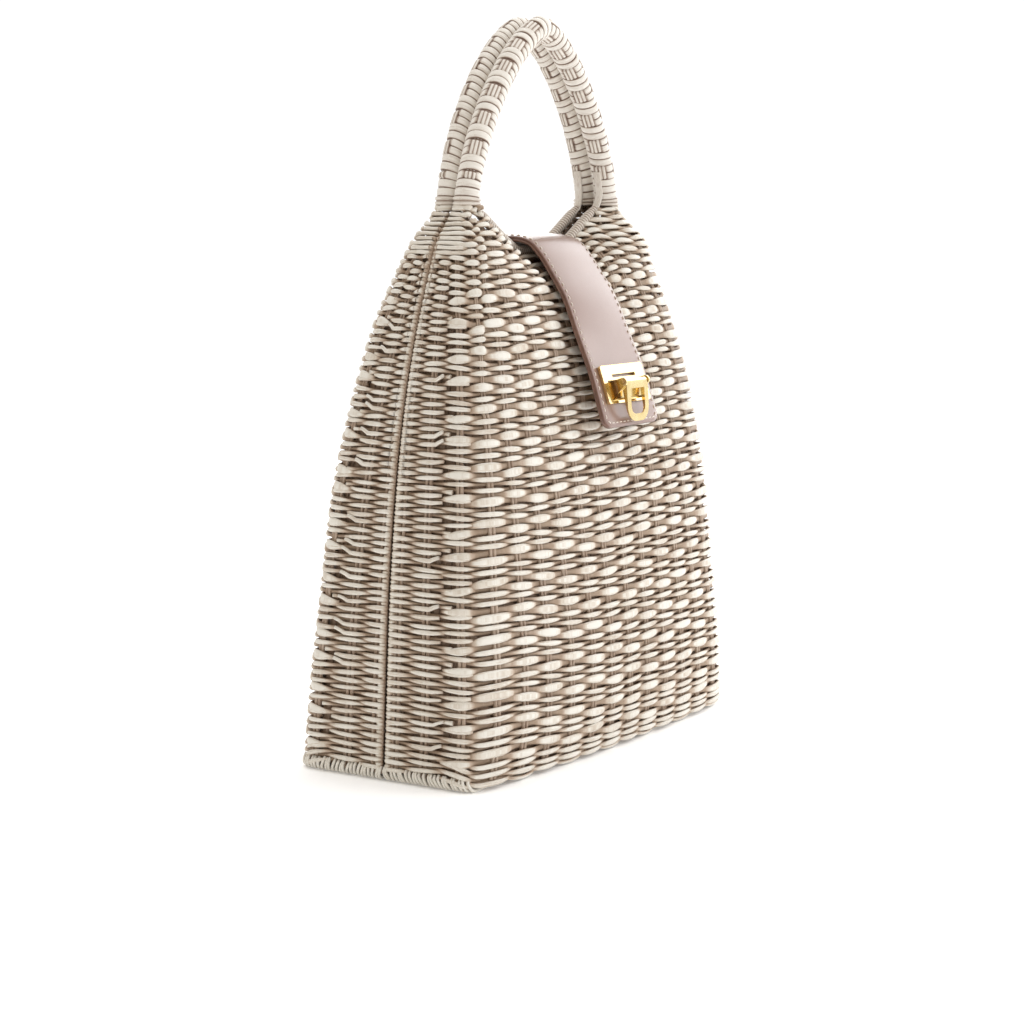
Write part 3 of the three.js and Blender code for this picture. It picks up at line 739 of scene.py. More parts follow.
# Depths over which a base row goes from pale to brown: a cream wash with painted shade into the hollows
BASE_WASH_AND_SHADE = (1.1, 3.6)
BASE_WAVER = 0.25
BASE_WAVE_LENGTH = 17
BASE_LIFT = 1.15
BASE_TURN_RADIUS = 4
BASE_TURN_REACH = 5
BASE_LEVEL_REACH = 14
BASE_TIP_X = np.array([0.0, -1.6])
BASE_TIP_Z = np.array([-1.2, 0.6])
BASE_ROD_COLUMNS = 5
BASE_ROD_WASH = 0.1
BASE_ROD_FROM_SEAM = 1.5
BASE_ROD_FROM_EDGE = 4


def base(side):
    """The woven base of one half: rows along the bag, whose ends turn up round the edge of the gussets."""
    piece = Piece()
    rng = np.random.default_rng(23 + side)
    half = SECTIONS[0, 1]
    depth = SECTIONS[0, 2 if side == FRONT else 3] - SEAM_GAP / 2
    square = SECTIONS[0, 5]
    rows = int((depth - BASE_LAST_ROW) / BASE_PITCH)
    for k in range(rows):
        from_seam = BASE_FIRST_ROW + k * BASE_PITCH
        limit = half * (1 - (from_seam / depth) ** square) ** (1 / square) - BASE_ROW_INSET
        level = limit - BASE_TURN_REACH
        flat_x = np.linspace(-level, level, 81)
        flat_z = STRAND_THICK + SWING * (1 - np.cos(math.pi * (flat_x / BASE_COLUMN - k)))
        flat_z = BASE_LIFT + (flat_z - BASE_LIFT) * smooth(0, BASE_LEVEL_REACH, level - np.abs(flat_x))
        rise = np.linspace(0.25, 1, 4) * math.pi / 2
        turn_x = limit - BASE_TURN_RADIUS * (1 - np.sin(rise))
        turn_z = BASE_LIFT + BASE_TURN_RADIUS * (1 - np.cos(rise))
        top = GUSSET_FOOT + rng.uniform(-0.4, 0.3)
        end_x = np.concatenate([turn_x, limit + BASE_TIP_X])
        end_z = np.concatenate([turn_z, top + BASE_TIP_Z])
        x = np.concatenate([-end_x[::-1], flat_x, end_x])
        z = np.concatenate([end_z[::-1], flat_z, end_z])
        bowed = from_seam * (1 - SECTIONS[0, 4] / depth * (x / half) ** 2)
        slant = rng.uniform(0.6, 2.4) * smooth(1.5, GUSSET_FOOT, z) * (np.abs(x) > level)
        waver = BASE_WAVER * np.sin(x / BASE_WAVE_LENGTH + rng.random() * 6)
        y = SEAM_Y + side * (SEAM_GAP / 2 + bowed - slant) + waver
        width = np.where(np.abs(x) > level - 1, BASE_END_HALF, BASE_ROW_HALF) * rng.uniform(0.9, 1.1)
        rings, deep = swept(np.stack([x, y, z], -1), ALONG_Y, width, STRAND_THICK, THIN_SIDES)
        lift = np.where(np.abs(x) > level, BASE_END_LIFT, z)
        # Painted shade with depth behind the crossings, over the cream wash
        values = {
            "wash_and_shade": (1 - smooth(*BASE_WASH_AND_SHADE, lift))[:, None],
            "along": x[:, None],
            "around": -deep,
            "tone": rng.random(),
        }
        piece.add_grid(rings, values)
    for column in range(-BASE_ROD_COLUMNS, BASE_ROD_COLUMNS + 1):
        for hand in (-STAKE_SPREAD, STAKE_SPREAD):
            across_base = column * BASE_COLUMN + hand
            reach = depth - BASE_ROD_FROM_EDGE - SECTIONS[0, 4] * (across_base / half) ** 2
            y = SEAM_Y + side * np.linspace(BASE_ROD_FROM_SEAM, reach, 30)
            x = np.full_like(y, across_base)
            z = np.full_like(y, 2 * STRAND_THICK + STAKE_RADIUS)
            rings, deep = swept(np.stack([x, y, z], -1), ALONG_X, STAKE_RADIUS, STAKE_RADIUS, THIN_SIDES)
            values = {"wash_and_shade": BASE_ROD_WASH, "along": y[:, None], "around": deep, "tone": rng.random()}
            piece.add_grid(rings, values)
    return piece


# Handles: their wraps, and runners that lie under two wraps and over the next two
HANDLE_FOOT = 1.5
HANDLE_TANGENT_REACH = 0.6
WRAP_WIDTH = 4.55
PLAIN_WRAPS = 3
RUNNER_HALF_ANGLE = 0.5
RUNNER_STRIPS = 3
RUNNER_ANGLES = (0.6, math.pi - 0.35)
RUNNER_DEPTH = 1.6
RUNNER_THICK = 1.0
RUNNER_CYCLE = 4
RUNNER_RISES = (1.9, 2.2)
RUNNER_SINKS = (3.8, 4.0)
RUNNER_STARTS = (PLAIN_WRAPS, PLAIN_WRAPS + 0.3)
RUNNER_FADE = (0.45, 0.75)
WRAP_SLANT = (0.9, 1.4)
WRAP_SLANT_TURN = 1.0
WRAPS_TO_FULL_SLANT = 5
WRAP_SUNK = 0.3
WRAP_EDGE_DIP = 0.7
WRAP_UNDER_DIP = 0.8
FOOT_CORD_RIDGE = 1.1


class FlatCurve:
    """A line in an upright plane by distance along it: places are across the plane and up."""

    def __init__(self, points):
        self.points = points
        self.travel = travelled(points)
        self.length = self.travel[-1]

    def place(self, distance):
        return np.stack([np.interp(distance, self.travel, line) for line in self.points.T], -1)

    def tangent(self, distance, reach):
        """Direction of the line, taken over a reach to both sides."""
        before = np.clip(distance - reach, 0, self.length)
        after = np.clip(distance + reach, 0, self.length)
        return unit(self.place(after) - self.place(before))


class HandlePath(FlatCurve):
    """The centre line of a handle, up one side of the arch and down the other."""

    def __init__(self, side, radius, out, half, rise, roundness, middle):
        turn = np.linspace(math.pi, 0, 4001)
        power = 2 / roundness
        x = middle + np.sign(np.cos(turn)) * half * np.abs(np.cos(turn)) ** power
        z = SHELL_HEIGHT + CLEARANCE + HANDLE_FOOT + rise * np.abs(np.sin(turn)) ** power
        foot_z = np.linspace(SHELL_HEIGHT + CLEARANCE, z[0], 20, endpoint=False)
        x = np.concatenate([np.full(20, x[0]), x, np.full(20, x[-1])])
        z = np.concatenate([foot_z, z, foot_z[::-1]])
        super().__init__(np.stack([x, z], -1))
        self.side = side
        self.y = SEAM_Y + side * out
        self.radius = radius

    def at(self, distance, angle, radius):
        """Points on the bar: the angle turns from the outside of the arch towards the bag's face."""
        tangent = self.tangent(distance, HANDLE_TANGENT_REACH)
        middle = self.place(distance)
        reach = radius * np.cos(angle)
        x = middle[..., 0] - reach * tangent[..., 1]
        z = middle[..., 1] + reach * tangent[..., 0]
        y = self.y + self.side * radius * np.sin(angle)
        return np.stack([x, y + np.zeros_like(x), z], -1)


def runner_over(wraps, distance, width):
    """1 where a runner lies over the wraps, 0 where it lies under them."""
    wrap = distance / width
    cycle = wrap % RUNNER_CYCLE
    rise = smooth(*RUNNER_RISES, cycle) - smooth(*RUNNER_SINKS, cycle)
    return rise * smooth(*RUNNER_STARTS, wrap) * smooth(*RUNNER_STARTS, wraps - wrap)


def handle(name):
    """A bar wound with flat cane, with runners that pass over and under pairs of wraps."""
    path = HandlePath(*HANDLES[name])
    piece = Piece()
    rng = np.random.default_rng(len(name))
    wraps = round(path.length / WRAP_WIDTH)
    width = path.length / wraps
    facing = 1 if path.side == BACK else -1
    turn = facing * np.linspace(0, 2 * math.pi, 30, endpoint=False)
    across = np.array([-1.0, -0.94, -0.75, -0.35, 0.0, 0.35, 0.75, 0.94, 1.0])
    for first in (0.0, path.length - width):
        add_foot_cords(piece, path, turn, first, width)
    for k in range(1, wraps - 1):
        slant = smooth(0, WRAPS_TO_FULL_SLANT, min(k, wraps - 1 - k))
        tilt = slant * rng.uniform(*WRAP_SLANT) * np.cos(turn - WRAP_SLANT_TURN)
        distance = (k + 0.5 + across[:, None] * 0.5) * width + tilt[None, :]
        distance = np.clip(distance, 0, path.length)
        dip = WRAP_EDGE_DIP * np.abs(across[:, None]) ** 5 + np.zeros_like(turn)
        under = k % RUNNER_CYCLE >= RUNNER_CYCLE / 2 and PLAIN_WRAPS <= k < wraps - PLAIN_WRAPS
        for angle in RUNNER_ANGLES:
            off = np.abs((turn - angle + math.pi) % (2 * math.pi) - math.pi)
            dip = dip + (WRAP_UNDER_DIP if under else 0.0) * (1 - smooth(*RUNNER_FADE, off))
        radius = path.radius - dip + rng.uniform(-WRAP_SUNK, 0.0)
        rings = path.at(distance, turn[None, :], radius)
        # Painted shade: browner where a wrap dips at its edges and under the runners
        values = {
            "wash_and_shade": 0.95 - 0.9 * smooth(0.1, 0.6, dip),
            "along": turn * path.radius,
            "around": across[:, None],
            "tone": rng.random(),
        }
        piece.add_grid(rings, values)
    for angle in RUNNER_ANGLES:
        add_runner(piece, path, angle, wraps, width, facing)
    piece.build(name, cane, "cane", [name])


def add_foot_cords(piece, path, turn, first, width):
    """Round windings where the handle stands on its shoulder."""
    across = np.linspace(0, 1, 17)
    ridge = np.abs(np.sin(2 * math.pi * across))
    radius = path.radius - 0.3 + FOOT_CORD_RIDGE * ridge
    rings = path.at((first + across * width)[:, None], turn[None, :], radius[:, None])
    # Painted shade in the grooves between the windings
    values = {
        "wash_and_shade": (0.25 + 0.6 * ridge)[:, None],
        "along": turn * path.radius,
        "around": (4 * across % 2 - 1)[:, None],
        "tone": 0.4,
    }
    piece.add_grid(rings, values)


def add_runner(piece, path, angle, wraps, width, facing):
    """A band of flat strips along the bar."""
    steps = (wraps - 2 * PLAIN_WRAPS) * 6
    distance = np.linspace(PLAIN_WRAPS * width, (wraps - PLAIN_WRAPS) * width, steps)
    over = runner_over(wraps, distance, width)
    top = path.radius - RUNNER_DEPTH + RUNNER_DEPTH * over
    across = np.linspace(1, -1, 8 * RUNNER_STRIPS + 1)
    groove = np.abs(np.cos(math.pi * RUNNER_STRIPS * (across + 1) / 2)) ** 6
    drop = 0.05 + 0.5 * groove
    spread = facing * RUNNER_HALF_ANGLE * across
    upper = path.at(distance[:, None], angle + spread[None, :], top[:, None] - drop[None, :])
    lower = path.at(distance[:, None], angle + spread[None, ::-1], top[:, None] - RUNNER_THICK)
    rings = np.concatenate([upper, lower], 1)
    # Painted shade in the grooves between the strips and on the underside against the bar
    hollow = np.concatenate([groove, np.ones(len(across))])
    values = {
        "wash_and_shade": (0.85 - 0.7 * hollow)[::-1],
        "along": distance[:, None],
        "around": np.tile(across, 2)[::-1],
        "tone": 0.75,
    }
    piece.add_grid(rings[:, ::-1], values)


# Rims: their windings, and the strips at their ends
RIM_WRAP = 2.2
RIM_WRAP_DIP = 0.9
RIM_STEPS = 4
RIM_THINS_FROM = 58


def rim(name, side):
    """A rod along the dip of the mouth, wound with fine cane. Its ends run up the handle as plain strips."""
    piece = Piece()
    x = np.linspace(-RIM_HALF_LENGTH, RIM_HALF_LENGTH, 2001)
    z = rim_height(x)
    travel = travelled(np.stack([x, z], -1))
    wraps = round(travel[-1] / RIM_WRAP)
    way = np.linspace(0, travel[-1], wraps * RIM_STEPS + 1)
    y = np.full_like(way, SEAM_Y + side * RIM_FROM_SEAM)
    path = np.stack([np.interp(way, travel, x), y, np.interp(way, travel, z)], -1)
    ridge = np.abs(np.sin(math.pi * np.arange(len(way)) / RIM_STEPS))
    thinning = 1 - 0.35 * smooth(RIM_THINS_FROM, RIM_HALF_LENGTH, np.abs(path[:, 0]))
    radius = (RIM_RADIUS - RIM_WRAP_DIP * (1 - ridge)) * thinning
    rings, deep = swept(path, ALONG_Y, radius, radius, 14)
    # Painted shade in the grooves between the windings
    values = {
        "wash_and_shade": 0.9 * ridge[:, None],
        "along": deep * 10,
        "around": np.tile(np.linspace(-1, 1, RIM_STEPS), len(way))[:len(way), None],
        "tone": 0.5,
    }
    piece.add_grid(rings, values)
    bar = HandlePath(*HANDLES[HANDLE_OF[side]])
    for hand in (-1, 1):
        add_rim_end(piece, bar, side, hand)
    piece.build(name, cane, "cane", [name])


RIM_END_FOOT = 8.0
RIM_END_TOP = 24.0
RIM_END_START = np.array([62.0, 65.0, 68.0])
RIM_END_HALF = (2.5, 0.75)


def add_rim_end(piece, bar, side, hand):
    """A plain strip from the end of the rim's windings up the inner side of a handle."""
    low_x = hand * RIM_END_START
    low = np.stack([low_x, np.full(3, SEAM_Y + side * RIM_FROM_SEAM), rim_height(low_x) - 0.5], -1)
    climb = np.linspace(RIM_END_FOOT, RIM_END_TOP, 5)
    distance = climb if hand < 0 else bar.length - climb
    high = bar.at(distance, np.full(5, math.pi), bar.radius + np.linspace(0.6, -0.3, 5))
    path = curve_through(np.concatenate([low, high]), 6)
    rings, deep = swept(path, ALONG_Y, *RIM_END_HALF, 10, 3.0)
    values = {"wash_and_shade": 0.75, "along": travelled(path)[:, None], "around": deep, "tone": 0.6}
    piece.add_grid(rings, values)


# The strap's outer face from its front end to its back end: distance behind the seam, and height
STRAP_PROFILE = (
    (-74.45, 193.5), (-70.5, 205.6), (-63.8, 225), (-54.4, 246), (-44.2, 268.7), (-34.8, 282.5),
    (-26, 294.2), (-19.6, 299.9), (-12, 302.4), (0, 302.8), (8, 302.9), (13.8, 300.2), (17.4, 293.6),
    (20.2, 288.4), (25.1, 280.4), (30.5, 272.3), (35.6, 264.1), (39.8, 255.9), (43.4, 247.6), (47.4, 236),
)
STRAP_THICKNESS = 3.4
STRAP_HALF_WIDTH = 28
STRAP_END_HALF_WIDTH = 31.8
STRAP_WIDENS_BELOW = 290
STRAP_END_RADIUS = 7
STRAP_CROWN = 1.5
STRAP_TANGENT_REACH = 0.8
CROWN_PAST_LOCK = (44, 80)
CROWN_FROM_BACK = 25
STITCH_INSET = 2.7
STITCH_PITCH = 4.3
STITCH_LENGTH = 3.0
STITCH_ARCH = np.array([0.5, 0.0, -0.22, -0.22, 0.0, 0.5])
STITCH_RADIUS = np.array([0.2, 0.32, 0.36, 0.36, 0.32, 0.2])


def curve_through(points, per_span):
    """A centripetal Catmull-Rom curve through points."""
    points = np.array(points, float)
    padded = np.concatenate([[2 * points[0] - points[1]], points, [2 * points[-1] - points[-2]]])
    gaps = np.linalg.norm(np.diff(padded, axis=0), axis=1) ** 0.5
    out = []
    for k in range(len(points) - 1):
        before, start, end, after = padded[k:k + 4]
        first, middle, last = gaps[k:k + 3]
        leave = (start - before) / first - (end - before) / (first + middle) + (end - start) / middle
        arrive = (end - start) / middle - (after - start) / (middle + last) + (after - end) / last
        t = np.linspace(0, 1, per_span, endpoint=False)[:, None]
        out.append(cubic(t, middle, start, end, leave, arrive))
    out.append(points[-1:])
    return np.concatenate(out)


class StrapPath(FlatCurve):
    """The strap's outer face from its front end to its back end."""

    def __init__(self):
        super().__init__(curve_through(STRAP_PROFILE, 40))

    def half_width(self, distance):
        place = self.place(distance)
        low = (STRAP_WIDENS_BELOW - place[..., 1]) / (STRAP_WIDENS_BELOW - STRAP_PROFILE[0][1])
        widening = np.where(place[..., 0] < 0, np.clip(low, 0, 1), 0)
        return STRAP_HALF_WIDTH + (STRAP_END_HALF_WIDTH - STRAP_HALF_WIDTH) * widening

    def crown(self, distance, x):
        """How far the padded middle of the strap stands out, clear of its ends and the lock."""
        clear = smooth(*CROWN_PAST_LOCK, distance) * smooth(0, CROWN_FROM_BACK, self.length - distance)
        return STRAP_CROWN * clear * (1 - (x / self.half_width(distance)) ** 2)

    def at(self, distance, x, depth):
        """Points at a place along and across the strap and a depth behind its outer face."""
        middle = self.place(distance)
        tangent = self.tangent(distance, STRAP_TANGENT_REACH)
        y = SEAM_Y + middle[..., 0] + depth * tangent[..., 1]
        z = middle[..., 1] - depth * tangent[..., 0]
        shape = np.broadcast_shapes(y.shape, np.shape(x))
        return np.stack([np.broadcast_to(value, shape) for value in (x, y, z)], -1)


# The strap's edge: how far in from the side, and how deep behind the outer face
STRAP_EDGE = ((-1.1, 0.0), (-0.45, 0.14), (-0.1, 0.42), (0.0, 0.8), (0.0, 1.4), (-0.5, 1.7))
STRAP_EDGE_INSET = 1.1
STRAP_PINCH = 0.5
STRAP_PINCH_REACH = 1.2
PAINT_MARGIN = 0.1
PAINTED_END = (0.1, 0.5)


def strap():
    """Two layers of leather with a painted edge and a groove between them."""
    path = StrapPath()
    ends = STRAP_END_RADIUS * (1 - np.cos(np.linspace(0, math.pi / 2, 9)))
    middle = np.linspace(STRAP_END_RADIUS, path.length - STRAP_END_RADIUS, 150)[1:-1]
    distance = np.concatenate([ends, middle, (path.length - ends)[::-1]])
    to_end = np.minimum(distance, path.length - distance)
    short = np.maximum(STRAP_END_RADIUS - to_end, 0)
    corner = STRAP_END_RADIUS - np.sqrt(STRAP_END_RADIUS ** 2 - short ** 2)
    half = path.half_width(distance) - corner
    pinch = STRAP_PINCH * (1 - smooth(0, STRAP_PINCH_REACH, to_end))
    back = [(inset, STRAP_THICKNESS - depth) for inset, depth in reversed(STRAP_EDGE[:-1])]
    side = list(STRAP_EDGE) + back
    painted = [float(PAINT_MARGIN < depth < STRAP_THICKNESS - PAINT_MARGIN) for _, depth in side]
    shares = np.linspace(-1, 1, 15)[1:-1]
    flat = half - STRAP_EDGE_INSET
    columns = [(half + inset, np.full_like(half, depth)) for inset, depth in side]
    columns += [(share * flat, np.full_like(half, STRAP_THICKNESS)) for share in shares[::-1]]
    columns += [(-(half + inset), np.full_like(half, depth)) for inset, depth in reversed(side)]
    for share in shares:
        crown = path.crown(distance, STRAP_EDGE_INSET * share ** 3 + share * flat)
        columns.append((share * flat, -crown))
    plain = [0.0] * len(shares)
    edge = np.array(painted + plain + painted[::-1] + plain)
    x = np.stack([column[0] for column in columns], -1)
    depth = np.stack([column[1] for column in columns], -1)
    depth = depth + pinch[:, None] * np.sign(STRAP_THICKNESS / 2 - depth)
    rings = path.at(distance[:, None], x, depth)
    at_end = (1 - smooth(*PAINTED_END, to_end))[:, None]
    body = Piece()
    body.add_grid(rings, {"edge": np.maximum(edge, at_end)})
    cut_for_post(body.build("strap_leather", leather, "leather", ["strap"]))
    return path


# The lock's place on the strap and its lean, and half the size of the opening in the strap behind its plate
LOCK_PLACE = (0.0, -66.0, 218.6)
LOCK_LEAN = 0.3305
OPENING_MIDDLE = -5.3
OPENING_HALF = (19.0, 9.0, 5.9)


def cut_for_post(piece):
    """Cuts the opening that the lock's post stands through."""
    turn = Matrix.Rotation(-LOCK_LEAN, 4, "X")
    place = Matrix.Translation(Vector(LOCK_PLACE) + Vector((0, SEAM_Y, 0)))
    box = bmesh.new()
    bmesh.ops.create_cube(box, size=2.0)
    shape = Matrix.Diagonal((*OPENING_HALF, 1.0))
    box.transform(Matrix.Scale(MM, 4) @ place @ turn @ Matrix.Translation((0, 0, OPENING_MIDDLE)) @ shape)
    mesh = bpy.data.meshes.new("opening")
    box.to_mesh(mesh)
    box.free()
    cutter = linked("opening", mesh)
    cut = piece.modifiers.new("opening", "BOOLEAN")
    cut.operation = "DIFFERENCE"
    cut.solver = "EXACT"
    cut.object = cutter
    whole = piece.evaluated_get(bpy.context.evaluated_depsgraph_get())
    opened = bpy.data.meshes.new_from_object(whole)
    piece.modifiers.clear()
    piece.data = opened
    bpy.data.objects.remove(cutter)


def stitches(path):
    """A row of thread stitches round the strap, inset from its edge."""
    reach = STRAP_END_RADIUS - STITCH_INSET
    straight = np.linspace(STRAP_END_RADIUS, path.length - STRAP_END_RADIUS, 400)
    turn = np.linspace(0, math.pi / 2, 20)
    start_half = path.half_width(np.array(0.0)) - STRAP_END_RADIUS
    end_half = path.half_width(np.array(path.length)) - STRAP_END_RADIUS
    way = np.concatenate([
        STRAP_END_RADIUS - reach * np.cos(turn), straight[1:-1],
        path.length - STRAP_END_RADIUS + reach * np.sin(turn),
    ])
    right = np.concatenate([
        start_half + reach * np.sin(turn), path.half_width(straight[1:-1]) - STITCH_INSET,
        end_half + reach * np.cos(turn),
    ])
    loop_way = np.concatenate([way, way[::-1], way[:1]])
    loop_x = np.concatenate([right, -right[::-1], right[:1]])
    travel = travelled(np.stack([loop_way, loop_x], -1))
    count = round(travel[-1] / STITCH_PITCH)
    middles = np.arange(count) * travel[-1] / count
    along = (middles[:, None] + np.linspace(-0.5, 0.5, 6) * STITCH_LENGTH) % travel[-1]
    where = np.interp(along, travel, loop_way)
    x = np.interp(along, travel, loop_x)
    points = path.at(where, x, STITCH_ARCH - path.crown(where, x))
    out = unit(path.at(where, x, -1.0) - path.at(where, x, 0.0))
    tangent = unit(np.gradient(points, axis=1))
    rings, _ = swept(points, np.cross(out, tangent), STITCH_RADIUS, STITCH_RADIUS, THIN_SIDES)
    piece = Piece()
    piece.add_grid(rings, {})
    piece.build("strap_stitches", thread, "leather")


# Angles between faces: over the first an edge is rounded, under the second faces are joined
SHARP = math.radians(30)
FLAT = math.radians(3)


def is_sharp(edge):
    return len(edge.link_faces) == 2 and edge.calc_face_angle() > SHARP


def softened(node, body, width, segments):
    """A gilt piece in place of a plain solid, with its edges rounded over."""
    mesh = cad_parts[node].data.copy()
    mesh.name = node + "_polished"
    shape = bmesh.new()
    shape.from_mesh(mesh)
    bmesh.ops.remove_doubles(shape, verts=shape.verts, dist=1e-6)
    bmesh.ops.dissolve_limit(shape, angle_limit=FLAT, verts=shape.verts, edges=shape.edges)
    sharp = [edge for edge in shape.edges if is_sharp(edge)]
    bmesh.ops.bevel(
        shape, geom=sharp, offset=width * MM, segments=segments, profile=0.5,
        affect="EDGES", clamp_overlap=True,
    )
    shape.to_mesh(mesh)
    shape.free()
    mesh.shade_smooth()
    mesh.materials.clear()
    mesh.materials.append(gilt)
    piece = linked(node + "_polished", mesh)
    piece.modifiers.new("even_shading", "WEIGHTED_NORMAL").keep_sharp = True
    return placed(piece, body, [node])


class Nodes:
    """A short way to write a material's node tree."""

    def __init__(self, name):
        self.material = bpy.data.materials.new(name)
        self.material.use_nodes = True
        self.tree = self.material.node_tree
        self.shader = self.tree.nodes["Principled BSDF"]

    def plug(self, socket, value):
        if isinstance(value, bpy.types.NodeSocket):
            self.tree.links.new(value, socket)
        else:
            socket.default_value = value

    def new(self, kind, inputs=None, **settings):
        node = self.tree.nodes.new(kind)
        for key, value in settings.items():
            setattr(node, key, value)
        for key, value in (inputs or {}).items():
            self.plug(node.inputs[key], value)
        return node

    def attribute(self, name):
        return self.new("ShaderNodeAttribute", attribute_name=name).outputs["Fac"]

    def math(self, operation, first, second=0.0):
        return self.new("ShaderNodeMath", {0: first, 1: second}, operation=operation).outputs[0]

    def scaled(self, value, factor, offset):
        return self.math("ADD", self.math("MULTIPLY", value, factor), offset)

    def where(self):
        return self.new("ShaderNodeTexCoord").outputs["Object"]

    def noise(self, vector, scale, detail=3.0, roughness=0.55):
        inputs = {"Vector": vector, "Scale": scale, "Detail": detail, "Roughness": roughness}
        return self.new("ShaderNodeTexNoise", inputs).outputs["Fac"]

    def combine(self, x, y, z):
        return self.new("ShaderNodeCombineXYZ", {0: x, 1: y, 2: z}).outputs[0]

    def ramp(self, value, stops):
        node = self.new("ShaderNodeValToRGB", {"Fac": value})
        elements = node.color_ramp.elements
        while len(elements) < len(stops):
            elements.new(0.5)
        for element, (position, colour) in zip(elements, stops):
            element.position = position
            element.color = linear(colour)
        return node.outputs["Color"]

    def mix(self, factor, first, second):
        inputs = {0: factor, 6: first, 7: second}
        return self.new("ShaderNodeMix", inputs, data_type="RGBA").outputs[2]

    def bump(self, height, strength, distance):
        inputs = {"Height": height, "Strength": strength, "Distance": distance}
        normal = self.new("ShaderNodeBump", inputs).outputs["Normal"]
        self.tree.links.new(normal, self.shader.inputs["Normal"])

    def set(self, **values):
        for key, value in values.items():
            self.plug(self.shader.inputs[key.replace("_", " ")], value)


def linear(colour):
    """An sRGB colour of 0 to 255 as linear light."""
    share = np.array(colour) / 255
    low = share / 12.92
    high = ((share + 0.055) / 1.055) ** 2.4
    return tuple(np.where(share <= 0.04045, low, high)) + (1.0,)


def strand_material(name, stops, streak_scale, streak_strength, gloss):
    """Rubbed cane: a cream wash on the crowns, turned brown in the hollows by painted shade, and streaks
    along each strand.
    """
    nodes = Nodes(name)
    along = nodes.attribute("along")
    around = nodes.attribute("around")
    tone = nodes.attribute("tone")
    # The attribute: 1 for the pale cream wash, 0 for brown; where it falls with depth or into grooves it is
    # painted shade
    wash_and_shade = nodes.attribute("wash_and_shade")
    shift = nodes.math("MULTIPLY", tone, 37.0)
    fine = nodes.combine(nodes.math("MULTIPLY", along, 0.05), nodes.math("MULTIPLY", around, 2.2), shift)
    streak = nodes.noise(fine, streak_scale, 4.0, 0.6)
    broad = nodes.noise(nodes.combine(nodes.math("MULTIPLY", along, 0.03), around, shift), 2.0, 2.0)
    wear = nodes.math("ADD", nodes.math("SUBTRACT", streak, 0.5), nodes.math("SUBTRACT", broad, 0.5))
    amount = nodes.scaled(wear, streak_strength, wash_and_shade)
    tint = nodes.math("MULTIPLY", nodes.math("SUBTRACT", tone, 0.5), 0.12)
    nodes.set(Base_Color=nodes.ramp(nodes.math("ADD", amount, tint), stops))
    nodes.set(Roughness=nodes.scaled(streak, 0.25, gloss))
    nodes.bump(streak, 0.25, 0.0004)
    return nodes.material


def leather_material():
    """Smooth dusty taupe leather with fine pores, and brown paint on its cut edges."""
    nodes = Nodes("leather")
    where = nodes.where()
    cloud = nodes.noise(where, 22.0, 3.0)
    pores = nodes.new("ShaderNodeTexVoronoi", {"Vector": where, "Scale": 1500.0}).outputs["Distance"]
    fine = nodes.noise(where, 900.0, 3.0)
    face = nodes.ramp(cloud, [(0.3, (130, 99, 87)), (0.7, (139, 108, 96))])
    paint = nodes.ramp(nodes.noise(where, 180.0, 2.0), [(0.3, (104, 72, 60)), (0.7, (124, 88, 74))])
    nodes.set(Base_Color=nodes.mix(nodes.attribute("edge"), face, paint))
    nodes.set(Roughness=nodes.scaled(fine, 0.2, 0.28))
    nodes.bump(nodes.scaled(pores, 0.7, fine), 0.12, 0.0003)
    nodes.set(Coat_Weight=0.85, Coat_Roughness=0.26)
    return nodes.material


def thread_material():
    """Twisted cream thread."""
    nodes = Nodes("thread")
    inputs = {"Vector": nodes.where(), "Scale": 900.0}
    twist = nodes.new("ShaderNodeTexWave", inputs, bands_direction="DIAGONAL").outputs["Fac"]
    nodes.set(Base_Color=nodes.ramp(twist, [(0.1, (226, 212, 197)), (0.8, (246, 238, 226))]), Roughness=0.7)
    nodes.bump(twist, 0.4, 0.0002)
    return nodes.material


def gilt_material():
    """Polished pale gold plate with faint smudges."""
    nodes = Nodes("gilt")
    where = nodes.where()
    smudge = nodes.noise(where, 160.0, 3.0)
    nodes.set(Base_Color=nodes.ramp(smudge, [(0.3, (238, 213, 152)), (0.75, (247, 226, 172))]))
    nodes.set(Metallic=1.0)
    nodes.set(Roughness=nodes.scaled(smudge, 0.12, 0.1))
    nodes.bump(nodes.noise(where, 1400.0, 2.0), 0.03, 0.0001)
    return nodes.material


wicker = strand_material(
    "wicker",
    [(0.0, (168, 146, 125)), (0.3, (187, 167, 148)), (0.62, (209, 198, 183)), (0.95, (231, 227, 218))],
    7.0, 1.05, 0.45,
)
bark = strand_material(
    "bark",
    [(0.0, (148, 124, 105)), (0.35, (176, 153, 134)), (0.7, (200, 181, 163)), (1.0, (222, 208, 192))],
    6.0, 1.2, 0.38,
)
cane = strand_material(
    "cane",
    [(0.05, (124, 101, 88)), (0.35, (166, 148, 134)), (0.68, (207, 197, 186)), (0.95, (234, 229, 221))],
    7.0, 0.7, 0.4,
)
leather = leather_material()
thread = thread_material()
gilt = gilt_material()

weave_half("front", FRONT, "front_shell")
weave_half("back", BACK, "back_shell")
for handle_name in HANDLES:
    handle(handle_name)
rim("front_rim", FRONT)
rim("back_rim", BACK)
stitches(strap())
softened("lock_plate", "bag", 0.45, 3)
softened("lock_post", "bag", 0.35, 3)
softened("lock_loop", "lock_loop", 1.0, 4)


FLOOR_REACH = 6.0


